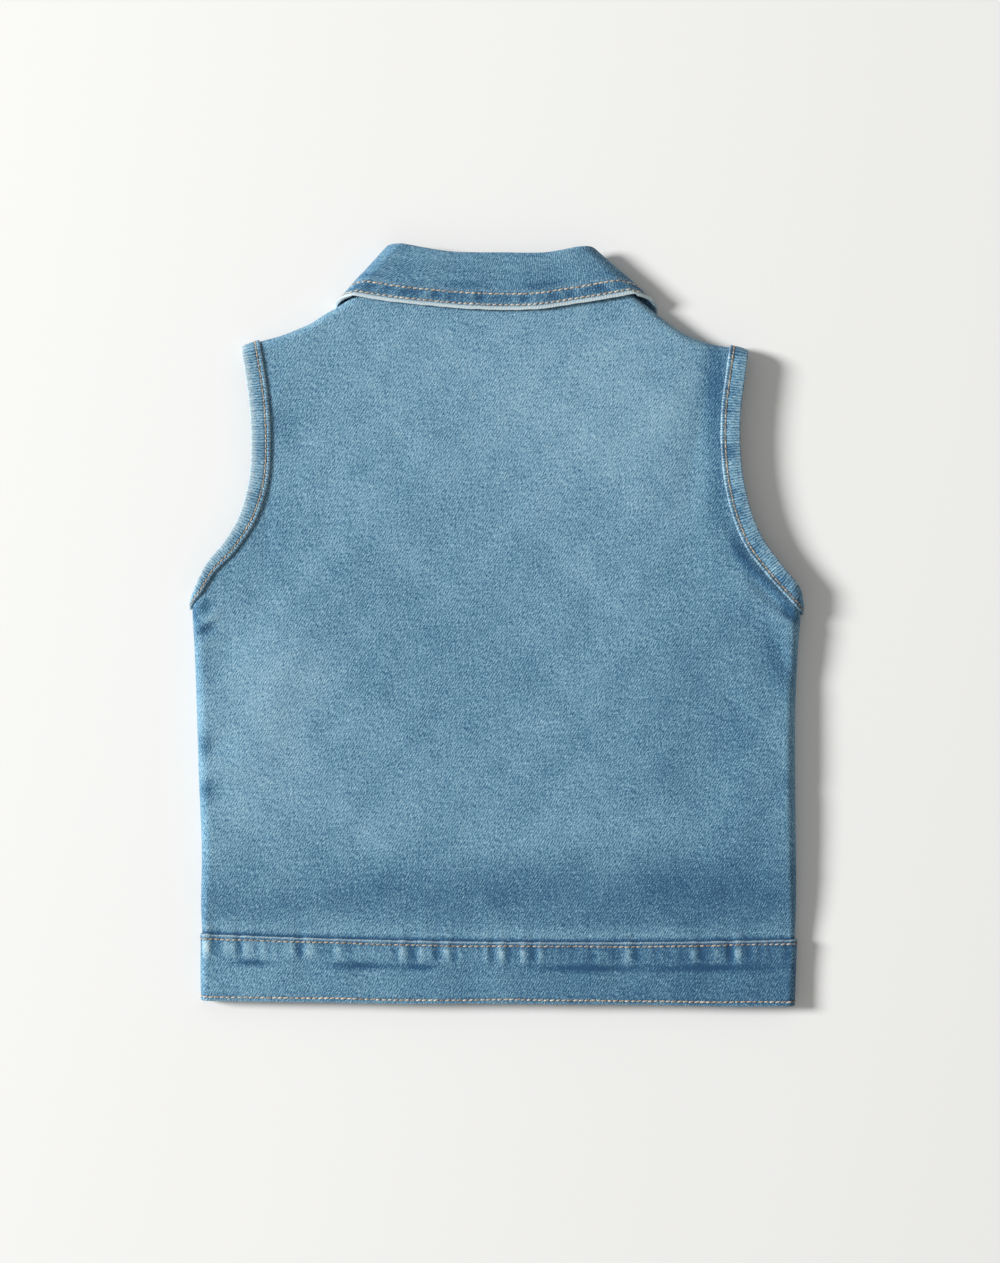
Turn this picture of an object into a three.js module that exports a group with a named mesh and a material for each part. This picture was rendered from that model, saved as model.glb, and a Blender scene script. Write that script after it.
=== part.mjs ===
// Sleeveless denim vest for a child of about five, laid flat and face down, so that its back is on top.
// Millimetres. +X is right as seen from above, +Y points to the collar, +Z is up, and it rests on z = 0.
import * as THREE from "three";

// Cloth
const wall = 1.1;          // one layer of denim, seams pressed in
const ply = 1.0;           // a folded band's layer over the panel
const gap = 0.3;           // clearance at every seam
const proud = ply + gap;   // how far a band stands above the panel that it covers

// Levels down the garment: the panels' cut edge, the waist seam and the hem
const panelFoot = -184;
const hemY = -216;
const hemTilt = -0.0085;   // the hem runs slightly downhill to the right
const waistSag = { depth: 4.6, lowestX: 50, reach: 215, fadeY: -100 };
const sideX = 170;         // about where the side folds lie
const armpitY = 12;
const placketTop = 128;
const neckCentre = { x: 0, y: 195 };

// Side folds as seen from above. Above the armpit they run on as guides only.
const sideFolds = [
  { y: -218, left: 168.4, right: 168.8 },
  { y: -184, left: 168.6, right: 169.8 },
  { y: -160, left: 169.5, right: 170.7 },
  { y: -128, left: 169.0, right: 170.6 },
  { y: -88, left: 170.6, right: 170.1 },
  { y: -48, left: 171.8, right: 170.2 },
  { y: -14, left: 173.0, right: 171.6 },
  { y: 8, left: 174.2, right: 173.2 },
  { y: 60, left: 174.6, right: 173.8 },
];

// Shoulder folds as seen from above. Inside the neck they run on as guides only.
const shoulderFolds = [
  { x: 40, left: 224.0, right: 220.0 },
  { x: 62, left: 206.0, right: 202.4 },
  { x: 70, left: 199.6, right: 195.4 },
  { x: 76, left: 194.3, right: 190.2 },
  { x: 84, left: 187.0, right: 183.4 },
  { x: 91, left: 182.0, right: 177.6 },
  { x: 98, left: 178.0, right: 172.2 },
  { x: 106, left: 172.8, right: 166.8 },
  { x: 114, left: 169.2, right: 163.2 },
  { x: 124, left: 165.4, right: 160.2 },
  { x: 136, left: 162.0, right: 158.2 },
  { x: 150, left: 156.6, right: 153.4 },
];
const shoulderCosine = 0.88;

// Armhole edge of the back, on the cloth laid flat
const backArmholes = [
  { y: 12, left: 177.8, right: 176.9 },
  { y: 15, left: 175.3, right: 174.6 },
  { y: 20.5, left: 171.9, right: 171.3 },
  { y: 34.5, left: 165.4, right: 160.2 },
  { y: 48, left: 154.8, right: 150.6 },
  { y: 61.5, left: 146.8, right: 144.4 },
  { y: 75.5, left: 141.8, right: 140.4 },
  { y: 89.5, left: 139.4, right: 138.0 },
  { y: 107, left: 139.0, right: 136.9 },
  { y: 124, left: 139.8, right: 137.5 },
  { y: 138, left: 141.5, right: 139.2 },
  { y: 156, left: 144.3, right: 141.6 },
  { y: 164, left: 144.9, right: 142.3 },
];
const frontScoop = 11;     // the front armhole is cut this much deeper than the back one
const scoopPower = 0.8;    // under 1 keeps the extra depth nearly even along the armhole
const tipX = { left: 144.8, right: 142.2 };   // where the armholes end at the shoulder folds

// Neck edges, on the cloth laid flat
const backNeck = [
  { x: 0, left: 184.9, right: 184.9 },
  { x: 10, left: 185.0, right: 185.5 },
  { x: 22, left: 185.6, right: 187.0 },
  { x: 42, left: 188.3, right: 190.6 },
  { x: 57, left: 193.4, right: 196.0 },
  { x: 67, left: 197.0, right: 198.2 },
  { x: 76, left: 199.0, right: 199.0 },
];
const neckPointX = { left: 76, right: 71 };
const frontNeck = [
  { y: 124, left: 12.8, right: 12.8 },
  { y: 129, left: 13.4, right: 13.4 },
  { y: 134, left: 22.2, right: 22.2 },
  { y: 143, left: 37.6, right: 37.6 },
  { y: 156, left: 56.2, right: 56.2 },
  { y: 173, left: 71.2, right: 70.5 },
  { y: 186, left: 79.8, right: 72.8 },
  { y: 197, left: 76.0, right: 71.0 },
];

// Height of the back's outer face above the surface, in the middle and beside the folds
const backHeights = [
  { y: -218, middle: 9.4, side: 7.8 },
  { y: -180, middle: 9.6, side: 8.0 },
  { y: -150, middle: 10.7, side: 10.8 },
  { y: -100, middle: 11.7, side: 12.4 },
  { y: 0, middle: 12.0, side: 12.9 },
  { y: 70, middle: 12.2, side: 12.7 },
  { y: 140, middle: 12.0, side: 12.8 },
  { y: 172, middle: 11.6, side: 11.9 },
  { y: 200, middle: 11.6, side: 11.6 },
];

// Soft folds of the back: place, reach along and across, height, and turn in degrees
const softFolds = [
  { x: 143, y: 20, along: 34, across: 12, rise: 0.8, turn: 128 },
  { x: 156, y: -26, along: 24, across: 11, rise: -1.0, turn: 108 },
  { x: -156, y: -14, along: 16, across: 11, rise: -0.8, turn: 62 },
  { x: -158, y: -70, along: 18, across: 11, rise: -0.8, turn: 15 },
  { x: -156, y: -97, along: 16, across: 11, rise: -0.7, turn: -12 },
  { x: -128, y: -40, along: 60, across: 16, rise: 0.7, turn: 70 },
  { x: 118, y: -80, along: 70, across: 18, rise: -0.6, turn: 76 },
  { x: 30, y: -128, along: 80, across: 14, rise: 0.5, turn: 8 },
  { x: -60, y: 60, along: 80, across: 22, rise: 0.5, turn: 48 },
  { x: 112, y: 96, along: 50, across: 12, rise: -0.7, turn: 84 },
];

// What lifts the front off the surface
const hemLift = { amount: proud, from: -174, to: -156 };
const armholeLift = { amount: proud, near: 15, far: 34, from: -32, to: -4 };
const collarLift = { amount: 2.8, near: 106, far: 138 };
const closureLift = { left: 2.3, right: 5.0, near: 13, far: 58 };

// Collar
const collarPly = 1.8;
const collarSlot = 1.0;
const collarRadius = 7.2;
const collarTop = 2 * collarRadius;
const standHeight = 27;
const foldStand = { left: 20.5, right: 21.8 };   // the stand is lower where the collar folds round the neck
const foldSlide = 7;       // how far the collar runs along its side fold on the way round it
const foldShort = { left: 3.5, right: 7.0 };   // how much less the fall measures on top of a side fold
const foldSteps = 8;
const collarCorners = {
  left: { roll: [-62.8, 217], free: [-92.3, 184.4] },
  right: { roll: [54.5, 216.3], free: [90.5, 184.5] },
};
const collarBack = [
  { rollX: -30, rollY: 213.4, freeX: -44, freeY: 182.5 },
  { rollX: -13, rollY: 212.5, freeX: -18, freeY: 180.2 },
  { rollX: 3, rollY: 212.5, freeX: 7, freeY: 179.5 },
  { rollX: 14, rollY: 212.9, freeX: 27, freeY: 180.4 },
  { rollX: 27, rollY: 213.6, freeX: 48, freeY: 183.8 },
];
const collarFront = [
  { rollX: 50, rollY: 188, freeX: 88, freeY: 160, stand: 24 },
  { rollX: 37, rollY: 168, freeX: 80, freeY: 141, stand: 21 },
  { rollX: 20, rollY: 152, freeX: 70, freeY: 125, stand: 18 },
  { rollX: 2.5, rollY: 139, freeX: 58, freeY: 108, stand: 15 },
];

// Front closure
const placketHalf = 12.5;
const placketThickness = 1.6;
const placketRows = 14;
const buttonRadius = 7;
const buttonHeight = 2.0;
const buttonRows = [112, 46, -20, -86, -152, -196];
const buttonSides = 20;
const buttonProfile = [[0, 0], [0.55, 0], [0.82, 0.22], [0.96, 0.55], [1, 0.82], [0.97, 1], [0, 1]];

// Widths of the armhole binding and of the waistband's lap
const bindingWidth = 10;
const waistLap = 8;
const bindingTurn = { armpit: 22, tip: 20, power: 0.6 };   // how soon a binding turns square to its edge
const outerBevel = 0.6;    // of a binding, where it folds over the edge on its outer side
const underBevel = 0.5;
const hemBevel = 0.8;

const denim = { color: 0x7096ac, roughness: 0.92, metalness: 0 };
const metal = { color: 0x9a9c9e, roughness: 0.35, metalness: 1 };

function smooth(value, from, to) {
  const t = Math.min(1, Math.max(0, (value - from) / (to - from)));
  return t * t * (3 - 2 * t);
}

function mix(a, b, t) {
  return a + (b - a) * t;
}

// How far the waist seam hangs below its ends, and how a panel's rows follow it
function sagAt(x) {
  return waistSag.depth * Math.max(0, 1 - ((x - waistSag.lowestX) / waistSag.reach) ** 2);
}

function panelDrop(x, y) {
  return sagAt(x) * (1 - smooth(y, panelFoot, waistSag.fadeY));
}

function bandDrop(x, y) {
  const cut = panelFoot - gap;
  return mix(sagAt(x), -hemTilt * x, Math.max(0, (cut - y) / (cut - hemY)));
}

// Smooth curve through a table's rows, read at one value of its key column
function readTable(rows, key, column, value) {
  const last = rows.length - 1;
  const v = Math.min(rows[last][key], Math.max(rows[0][key], value));
  let i = 0;
  while (i < last - 1 && v > rows[i + 1][key]) {
    i += 1;
  }
  const slope = (j) => {
    const before = rows[Math.max(0, j - 1)];
    const after = rows[Math.min(last, j + 1)];
    return (after[column] - before[column]) / (after[key] - before[key]);
  };
  const step = rows[i + 1][key] - rows[i][key];
  const t = (v - rows[i][key]) / step;
  const ends = rows[i][column] * (1 + 2 * t) * (1 - t) ** 2 + rows[i + 1][column] * (3 - 2 * t) * t * t;
  return ends + step * (slope(i) * t * (1 - t) ** 2 - slope(i + 1) * t * t * (1 - t));
}

function backHeight(x, y) {
  const beside = Math.min(1, Math.abs(x) / sideX) ** 2;
  let height = mix(readTable(backHeights, "y", "middle", y), readTable(backHeights, "y", "side", y), beside);
  for (const fold of softFolds) {
    const turn = THREE.MathUtils.degToRad(fold.turn);
    const along = (x - fold.x) * Math.cos(turn) + (y - fold.y) * Math.sin(turn);
    const across = (y - fold.y) * Math.cos(turn) - (x - fold.x) * Math.sin(turn);
    height += fold.rise * Math.exp(-((along / fold.along) ** 2) - (across / fold.across) ** 2);
  }
  return height;
}

function frontArmhole(side, y) {
  const reach = readTable(backArmholes, "y", side, y);
  const tipY = readTable(shoulderFolds, "x", side, reach);
  const along = Math.min(1, Math.max(0, (y - armpitY) / (tipY - armpitY)));
  return reach - frontScoop * Math.sin(Math.PI * along) ** scoopPower;
}

function frontHeight(side, x, y) {
  const inward = side === "left" ? -x : x;
  const hem = hemLift.amount * (1 - smooth(y, hemLift.from, hemLift.to));
  const fromArmhole = frontArmhole(side, Math.max(armpitY, y)) - inward;
  const nearArmhole = 1 - smooth(fromArmhole, armholeLift.near, armholeLift.far);
  const armhole = armholeLift.amount * nearArmhole * smooth(y, armholeLift.from, armholeLift.to);
  const fromNeck = Math.hypot(x - neckCentre.x, y - neckCentre.y);
  const collar = collarLift.amount * (1 - smooth(fromNeck, collarLift.near, collarLift.far));
  const closure = closureLift[side] * (1 - smooth(inward, closureLift.near, closureLift.far));
  return hem + armhole * (1 - collar / collarLift.amount) + Math.hypot(collar, closure);
}

// A point of the cloth laid flat, taken to its place on a panel's outer face. Near a side or shoulder fold
// the cloth turns down a quarter round to half height, where the back meets the front.
function place(panel, flatX, flatY) {
  const side = panel.side ?? (flatX < 0 ? "left" : "right");
  const sign = flatX < 0 ? -1 : 1;
  const foldX = readTable(sideFolds, "y", sign < 0 ? "left" : "right", flatY);
  const foldY = readTable(shoulderFolds, "x", sign < 0 ? "left" : "right", Math.abs(flatX));
  const nearX = sign * Math.min(Math.abs(flatX), foldX);
  const nearY = Math.min(flatY, foldY);
  const top = backHeight(nearX, nearY);
  const bottom = frontHeight(side, nearX, nearY);
  const radius = (top - bottom) / 2;
  const spare = (Math.PI / 2 - 1) * radius;
  const point = { x: flatX, y: flatY };
  let turn = Math.PI / 2;
  const sideArc = foldX + spare - Math.abs(flatX);
  if (sideArc < turn * radius) {
    turn = sideArc / radius;
    point.x = sign * (foldX - radius * (1 - Math.cos(turn)));
  }
  const shoulderArc = (foldY - flatY) * shoulderCosine + spare;
  if (shoulderArc < (Math.PI / 2) * radius) {
    turn = Math.min(turn, shoulderArc / radius);
    point.y = foldY - (radius * (1 - Math.cos(shoulderArc / radius))) / shoulderCosine;
  }
  const z = (top + bottom) / 2 + panel.face * radius * Math.sin(turn);
  return new THREE.Vector3(point.x, point.y, z);
}

// The same point moved out of the panel's outer face, or into the panel where the amount is negative
function lift(panel, flatX, flatY, amount) {
  const step = 0.2;
  const alongX = place(panel, flatX + step, flatY).sub(place(panel, flatX - step, flatY));
  const alongY = place(panel, flatX, flatY + step).sub(place(panel, flatX, flatY - step));
  const normal = alongX.cross(alongY).normalize().multiplyScalar(panel.face);
  return place(panel, flatX, flatY).addScaledVector(normal, amount);
}

// Where the flat cloth ends at half height of a side fold, and of a shoulder fold
function flatSide(side, y) {
  const foldX = readTable(sideFolds, "y", side, y);
  const sign = side === "left" ? -1 : 1;
  const radius = (backHeight(sign * foldX, y) - frontHeight(side, sign * foldX, y)) / 2;
  return foldX + (Math.PI / 2 - 1) * radius - gap / 2;
}

function flatShoulder(side, x) {
  const foldY = readTable(shoulderFolds, "x", side, x);
  const sign = side === "left" ? -1 : 1;
  const radius = (backHeight(sign * x, foldY) - frontHeight(side, sign * x, foldY)) / 2;
  return foldY + ((Math.PI / 2 - 1) * radius - gap / 2) / shoulderCosine;
}

const flatTip = {
  left: { x: tipX.left, y: flatShoulder("left", tipX.left) },
  right: { x: tipX.right, y: flatShoulder("right", tipX.right) },
};

// Outer edge of a panel on the flat cloth: the side fold up to the armpit, then the armhole
function outerEdge(side, y, front) {
  if (y <= armpitY) {
    return flatSide(side, y);
  }
  const reach = front ? frontArmhole(side, y) : readTable(backArmholes, "y", side, y);
  return Math.min(reach, flatSide(side, y));
}

// A closed solid from rows of corner points. Each row is a ring, and the first and last rows are capped.
function solidFromRings(rings) {
  const count = rings[0].length;
  const positions = rings.flat().flatMap((p) => [p.x, p.y, p.z]);
  const faces = [];
  for (let i = 0; i + 1 < rings.length; i += 1) {
    for (let j = 0; j < count; j += 1) {
      const next = (j + 1) % count;
      const a = i * count + j;
      const b = i * count + next;
      faces.push(a, b, a + count, b, b + count, a + count);
    }
  }
  for (const i of [0, rings.length - 1]) {
    faces.push(...capFaces(rings[i], i * count, i > 0));
  }
  return closedGeometry(positions, faces);
}

// Triangles over one ring, worked out in the plane that the ring lies nearest to
function capFaces(ring, start, turned) {
  const normal = new THREE.Vector3();
  ring.forEach((p, j) => normal.add(p.clone().cross(ring[(j + 1) % ring.length])));
  normal.normalize();
  const along = ring[1].clone().sub(ring[0]);
  along.addScaledVector(normal, -along.dot(normal)).normalize();
  const across = normal.clone().cross(along);
  const outline = ring.map((p) => new THREE.Vector2(p.dot(along), p.dot(across)));
  return THREE.ShapeUtils.triangulateShape(outline, []).flatMap(([a, b, c]) => {
    return turned ? [start + a, start + b, start + c] : [start + a, start + c, start + b];
  });
}

function closedGeometry(positions, faces) {
  let volume = 0;
  const corner = (i) => new THREE.Vector3().fromArray(positions, 3 * i);
  for (let i = 0; i < faces.length; i += 3) {
    volume += corner(faces[i]).dot(corner(faces[i + 1]).cross(corner(faces[i + 2])));
  }
  const geometry = new THREE.BufferGeometry();
  geometry.setAttribute("position", new THREE.Float32BufferAttribute(positions, 3));
  geometry.setIndex(volume > 0 ? faces : faces.toReversed());
  return geometry;
}

// A wall from a grid of flat cloth points: its outer face, its inner face and the rim between them
function wallFromGrid(panel, grid, thickness) {
  const rows = grid.length;
  const columns = grid[0].length;
  const outer = grid.flat().map(([x, y]) => lift(panel, x, y, 0));
  const inner = grid.flat().map(([x, y]) => lift(panel, x, y, -thickness));
  const positions = [...outer, ...inner].flatMap((p) => [p.x, p.y, p.z]);
  const under = rows * columns;
  const faces = [];
  const quad = (a, b, c, d) => faces.push(a, b, c, a, c, d);
  for (let i = 0; i + 1 < rows; i += 1) {
    for (let j = 0; j + 1 < columns; j += 1) {
      const a = i * columns + j;
      quad(a, a + 1, a + columns + 1, a + columns);
      quad(under + a, under + a + columns, under + a + columns + 1, under + a + 1);
    }
    const start = i * columns;
    const end = start + columns - 1;
    quad(start, start + columns, under + start + columns, under + start);
    quad(end, under + end, under + end + columns, end + columns);
  }
  for (let j = 0; j + 1 < columns; j += 1) {
    const top = (rows - 1) * columns + j;
    quad(j, under + j, under + j + 1, j + 1);
    quad(top, top + 1, under + top + 1, under + top);
  }
  return closedGeometry(positions, faces);
}

function evenSteps(from, to, count) {
  return Array.from({ length: count + 1 }, (_, i) => mix(from, to, i / count));
}

// Places across a panel, from 0 to 1, closer together beside a fold
function spacedSteps(parts) {
  const steps = parts.flatMap(([from, to, count]) => evenSteps(from, to, count).slice(0, -1));
  return [...steps, 1];
}

const tipEdge = {
  left: outerEdge("left", flatTip.left.y, false),
  right: outerEdge("right", flatTip.right.y, false),
};
const span = tipEdge.left + tipEdge.right;
const leftNeck = (tipEdge.left - neckPointX.left) / span;
const rightNeck = (tipEdge.left + neckPointX.right) / span;
const backRoll = 0.036;
const backColumns = spacedSteps([
  [0, backRoll, 4], [backRoll, leftNeck, 5], [leftNeck, rightNeck, 10], [rightNeck, 1 - backRoll, 5],
  [1 - backRoll, 1, 4],
]);
const frontRoll = 0.064;
const frontMiddle = 0.64;      // from here to the centre the columns stand closer, for the neck edge
const besidePlacket = 0.862;   // share of a front waistband that lies beside the placket
const frontColumns = spacedSteps([[0, frontRoll, 4], [frontRoll, frontMiddle, 3], [frontMiddle, 1, 4]]);
const frontBandColumns = [...frontColumns.slice(0, -1).map((u) => u * besidePlacket), besidePlacket, 1];

// Heights of a panel's rows at its outer edge: close together at the waist seam, armpit and shoulder.
// The last rows are counted down from the shoulder tip.
const torsoRows = [panelFoot, -180, -176, -170, -165, -158, -136, -108, -80, -52, -28, -10, 0, 6, armpitY];
const armholeRows = [13, 14.6, 17, 20.5, 27, 34.5, 41, 48, 55, 62, 75.5, 90, 107, 124, 138, 149];
const belowTipRows = [9.4, 7, 4.7, 2.4, 0];

function rowLevels(side) {
  return [...torsoRows, ...armholeRows, ...belowTipRows.map((below) => flatTip[side].y - below)];
}

function makeBackPanel() {
  const panel = { face: 1 };
  const right = rowLevels("right");
  const grid = rowLevels("left").map((leftY, i) => backColumns.map((u) => {
    const v = (mix(leftY, right[i], u) - panelFoot) / (mix(flatTip.left.y, flatTip.right.y, u) - panelFoot);
    const leftX = outerEdge("left", leftY - panelDrop(-sideX, leftY), false);
    const rightX = outerEdge("right", right[i] - panelDrop(sideX, right[i]), false);
    const x = mix(-leftX, rightX, u);
    const y = mix(panelFoot, backTop(mix(-tipEdge.left, tipEdge.right, u)), v);
    return [x, y - panelDrop(x, y)];
  }));
  return wallFromGrid(panel, grid, wall);

  function backTop(x) {
    const reach = Math.abs(x);
    const side = x < 0 ? "left" : "right";
    if (reach < neckPointX[side]) {
      return readTable(backNeck, "x", side, reach);
    }
    return flatShoulder(side, reach);
  }
}

function makeFrontPanel(side) {
  const panel = { face: -1, side };
  const sign = side === "left" ? -1 : 1;
  const tip = flatTip[side];
  const neckPointY = flatShoulder(side, neckPointX[side]);
  const grid = rowLevels(side).map((y) => frontColumns.map((u) => {
    const v = (y - panelFoot) / (tip.y - panelFoot);
    const edgeX = outerEdge(side, y - panelDrop(sign * sideX, y), true);
    const centreX = readTable(frontNeck, "y", side, mix(panelFoot, neckPointY, v));
    const topX = mix(tipEdge[side], neckPointX[side], u);
    const x = sign * mix(edgeX, centreX, u);
    const rowY = mix(panelFoot, flatShoulder(side, topX), v);
    return [x, rowY - panelDrop(x, rowY)];
  }));
  return wallFromGrid(panel, grid, wall);
}

// A binding folded over an armhole edge, from the armpit to the shoulder
function makeBinding(side, face) {
  const panel = { face, side };
  const sign = side === "left" ? -1 : 1;
  const front = face < 0;
  const tip = flatTip[side];
  const edge = rowLevels(side).filter((y) => y >= armpitY).map((y) => {
    return new THREE.Vector2(sign * outerEdge(side, y, front), y);
  });
  const ends = {
    armpit: new THREE.Vector2(sign * flatSide(side, armpitY - bindingWidth), armpitY - bindingWidth),
    tip: new THREE.Vector2(sign * (tip.x - bindingWidth), flatShoulder(side, tip.x - bindingWidth)),
  };
  const third = bindingWidth / 3;
  const over = [bindingWidth, 2 * third, third];
  const section = [
    ...over.map((reach) => [reach, proud]), [outerBevel - proud, proud], [-proud, proud - outerBevel],
    [-proud, underBevel - wall - proud], [underBevel - proud, -wall - proud],
    ...over.toReversed().map((reach) => [reach, -wall - proud]),
    ...over.map((reach) => [reach, -wall - gap]), [-gap, -wall - gap], [-gap, gap],
    ...over.toReversed().map((reach) => [reach, gap]),
  ];
  const down = ends.armpit.sub(edge[0]).normalize();
  const across = ends.tip.sub(edge[edge.length - 1]).normalize();
  const rings = edge.map((point, i) => {
    const before = edge[Math.max(0, i - 1)];
    const after = edge[Math.min(edge.length - 1, i + 1)];
    const along = after.clone().sub(before).normalize();
    const inward = new THREE.Vector2(-sign * along.y, sign * along.x);
    const pastArmpit = Math.min(1, (point.y - armpitY) / bindingTurn.armpit) ** bindingTurn.power;
    const belowTip = Math.min(1, (tip.y - point.y) / bindingTurn.tip) ** bindingTurn.power;
    inward.lerp(down, 1 - pastArmpit).lerp(across, 1 - belowTip).normalize();
    return section.map(([reach, amount]) => {
      const x = Math.abs(point.x + inward.x * reach);
      const y = point.y + inward.y * reach;
      return lift(panel, sign * Math.min(x, flatSide(side, y)), Math.min(y, flatShoulder(side, x)), amount);
    });
  });
  return solidFromRings(rings);
}

// Waistband: its outer layer laps over the panel's cut edge, and it is doubled from there to the hem
function makeWaistband(face, side, fromX, toX, columns) {
  const panel = { face, side };
  const seamY = panelFoot + waistLap;
  const section = [
    [seamY, gap], [seamY, proud], [mix(seamY, hemY, 0.5), proud], [hemY + hemBevel, proud], [hemY, proud - hemBevel],
    [hemY, hemBevel - wall], [hemY + hemBevel, -wall], [mix(seamY, hemY, 0.5), -wall], [panelFoot - gap, -wall],
    [panelFoot - gap, gap],
  ];
  const rings = columns.map((t) => {
    return section.map(([y, amount]) => {
      const x = mix(fromX(y), toX(y), t);
      return lift(panel, x, y - bandDrop(x, y), amount);
    });
  });
  return solidFromRings(rings);
}

function makePlacket(side) {
  const panel = { face: -1, side };
  const foot = panelFoot + waistLap + gap;
  const grid = evenSteps(foot, placketTop, placketRows).map((y) => {
    return [-placketHalf, 0, placketHalf].map((x) => [x, y - panelDrop(x, y)]);
  });
  return wallFromGrid(panel, grid, placketThickness);
}

// Collar: a stand that rises from the neck seam and a fall that turns back over it, folded round both
// sides of the neck. Stations run from the left front end, over the back, to the right front end.
function makeCollar() {
  const stations = [
    ...frontStations("left").reverse(), ...foldStations("left").reverse(), ...backStations(),
    ...foldStations("right"), ...frontStations("right"),
  ];
  const half = collarPly + collarSlot / 2;
  const rings = stations.map(({ origin, along, out, fall, stand }) => {
    const roll = [45, 90, 135].map((angle) => {
      const turn = THREE.MathUtils.degToRad(angle);
      return [half - half * Math.sin(turn), half * Math.cos(turn) - half];
    });
    const section = [
      [fall, 0], [fall / 2, 0], [half, 0], ...roll, [half, -2 * half], [stand, -2 * half],
      [stand, -2 * half + collarPly], [half, -2 * half + collarPly], [collarPly, -half],
      [half, -collarPly], [fall / 2, -collarPly], [fall, -collarPly],
    ];
    return section.map(([reach, amount]) => {
      return origin.clone().addScaledVector(along, reach).addScaledVector(out, amount);
    });
  });
  return solidFromRings(rings);

  function flatStation(roll, free, z, face, stand) {
    const origin = new THREE.Vector3(roll[0], roll[1], z);
    const along = new THREE.Vector3(free[0] - roll[0], free[1] - roll[1], 0);
    const fall = along.length();
    return { origin, along: along.normalize(), out: new THREE.Vector3(0, 0, face), fall, stand };
  }

  function backStations() {
    return collarBack.map((row) => {
      return flatStation([row.rollX, row.rollY], [row.freeX, row.freeY], collarTop, 1, standHeight);
    });
  }

  function frontStations(side) {
    const sign = side === "left" ? -1 : 1;
    return collarFront.map((row) => {
      return flatStation([sign * row.rollX, row.rollY], [sign * row.freeX, row.freeY], 0, -1, row.stand);
    });
  }

  function foldStations(side) {
    const sign = side === "left" ? -1 : 1;
    const corner = new THREE.Vector3(...collarCorners[side].roll, 0);
    const along = new THREE.Vector3(...collarCorners[side].free, 0).sub(corner);
    const fall = along.length();
    along.normalize();
    const inward = new THREE.Vector3(sign * along.y, -sign * along.x, 0);
    return evenSteps(90, -90, foldSteps).map((angle) => {
      const turn = THREE.MathUtils.degToRad(angle);
      const out = inward.clone().multiplyScalar(-Math.cos(turn)).setZ(Math.sin(turn));
      const origin = corner.clone().addScaledVector(inward, collarRadius).setZ(collarRadius);
      origin.addScaledVector(along, (-foldSlide * angle) / 90).addScaledVector(out, collarRadius);
      return { origin, along, out, fall: fall - foldShort[side] * Math.max(0, angle / 90), stand: foldStand[side] };
    });
  }
}

function makeButton(y) {
  const profile = buttonProfile.map(([across, up]) => {
    return new THREE.Vector2(across * buttonRadius, up * buttonHeight);
  });
  const geometry = new THREE.LatheGeometry(profile, buttonSides);
  geometry.rotateX(Math.PI / 2);
  const onBand = y < panelFoot + waistLap;
  const seat = lift({ face: -1, side: "left" }, 0, y, gap + (onBand ? proud : 0));
  const slopes = [-buttonRadius, buttonRadius].map((step) => {
    return lift({ face: -1, side: "left" }, 0, y + step, gap + (onBand ? proud : 0)).z;
  });
  geometry.translate(0, y, Math.min(seat.z, ...slopes) - buttonHeight);
  return geometry;
}

const group = new THREE.Group();

function add(name, geometry, finish) {
  const mesh = new THREE.Mesh(geometry, new THREE.MeshStandardMaterial(finish));
  mesh.name = name;
  group.add(mesh);
}

add("back_panel", makeBackPanel(), denim);
const bandEnd = (side, y) => flatSide(side, y - bandDrop(side === "left" ? -sideX : sideX, y));
const backBandStart = (y) => -bandEnd("left", y);
const backBandEnd = (y) => bandEnd("right", y);
add("waistband_back", makeWaistband(1, undefined, backBandStart, backBandEnd, backColumns), denim);
add("collar", makeCollar(), denim);
for (const side of ["left", "right"]) {
  const sign = side === "left" ? -1 : 1;
  add(`front_${side}`, makeFrontPanel(side), denim);
  add(`armhole_band_back_${side}`, makeBinding(side, 1), denim);
  add(`armhole_band_front_${side}`, makeBinding(side, -1), denim);
  const outer = (y) => sign * bandEnd(side, y);
  const inner = () => -sign * placketHalf;
  add(`waistband_front_${side}`, makeWaistband(-1, side, outer, inner, frontBandColumns), denim);
  add(`placket_${side}`, makePlacket(side), denim);
}
buttonRows.forEach((y, i) => add(`button_${i + 1}`, makeButton(y), metal));

export default group;
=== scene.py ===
import math
import bpy
import numpy as np
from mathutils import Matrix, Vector


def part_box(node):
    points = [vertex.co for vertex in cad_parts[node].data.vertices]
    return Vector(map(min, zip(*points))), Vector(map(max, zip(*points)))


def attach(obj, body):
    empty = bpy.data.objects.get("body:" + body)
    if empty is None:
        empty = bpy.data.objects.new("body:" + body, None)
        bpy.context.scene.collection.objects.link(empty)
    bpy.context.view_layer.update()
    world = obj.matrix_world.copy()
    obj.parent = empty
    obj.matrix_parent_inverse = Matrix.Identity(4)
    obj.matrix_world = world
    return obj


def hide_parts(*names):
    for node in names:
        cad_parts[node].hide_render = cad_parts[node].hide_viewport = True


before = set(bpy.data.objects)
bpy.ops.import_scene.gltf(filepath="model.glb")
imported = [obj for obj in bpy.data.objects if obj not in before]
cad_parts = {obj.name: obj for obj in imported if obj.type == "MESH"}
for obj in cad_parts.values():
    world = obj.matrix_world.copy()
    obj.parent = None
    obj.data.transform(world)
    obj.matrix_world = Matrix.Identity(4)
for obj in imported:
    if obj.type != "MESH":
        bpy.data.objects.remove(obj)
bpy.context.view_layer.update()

# The vest lies face down, back upwards. Sizes are millimetres and become metres when a mesh is shaped.
mm = 0.001
# The photo's scale, and the pixel that lies at the vest's origin
photo = {"mmPerPixel": 0.57, "middleX": 497.5, "middleY": 625.5}
sides = ("left", "right")
signs = {"left": -1, "right": 1}

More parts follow.
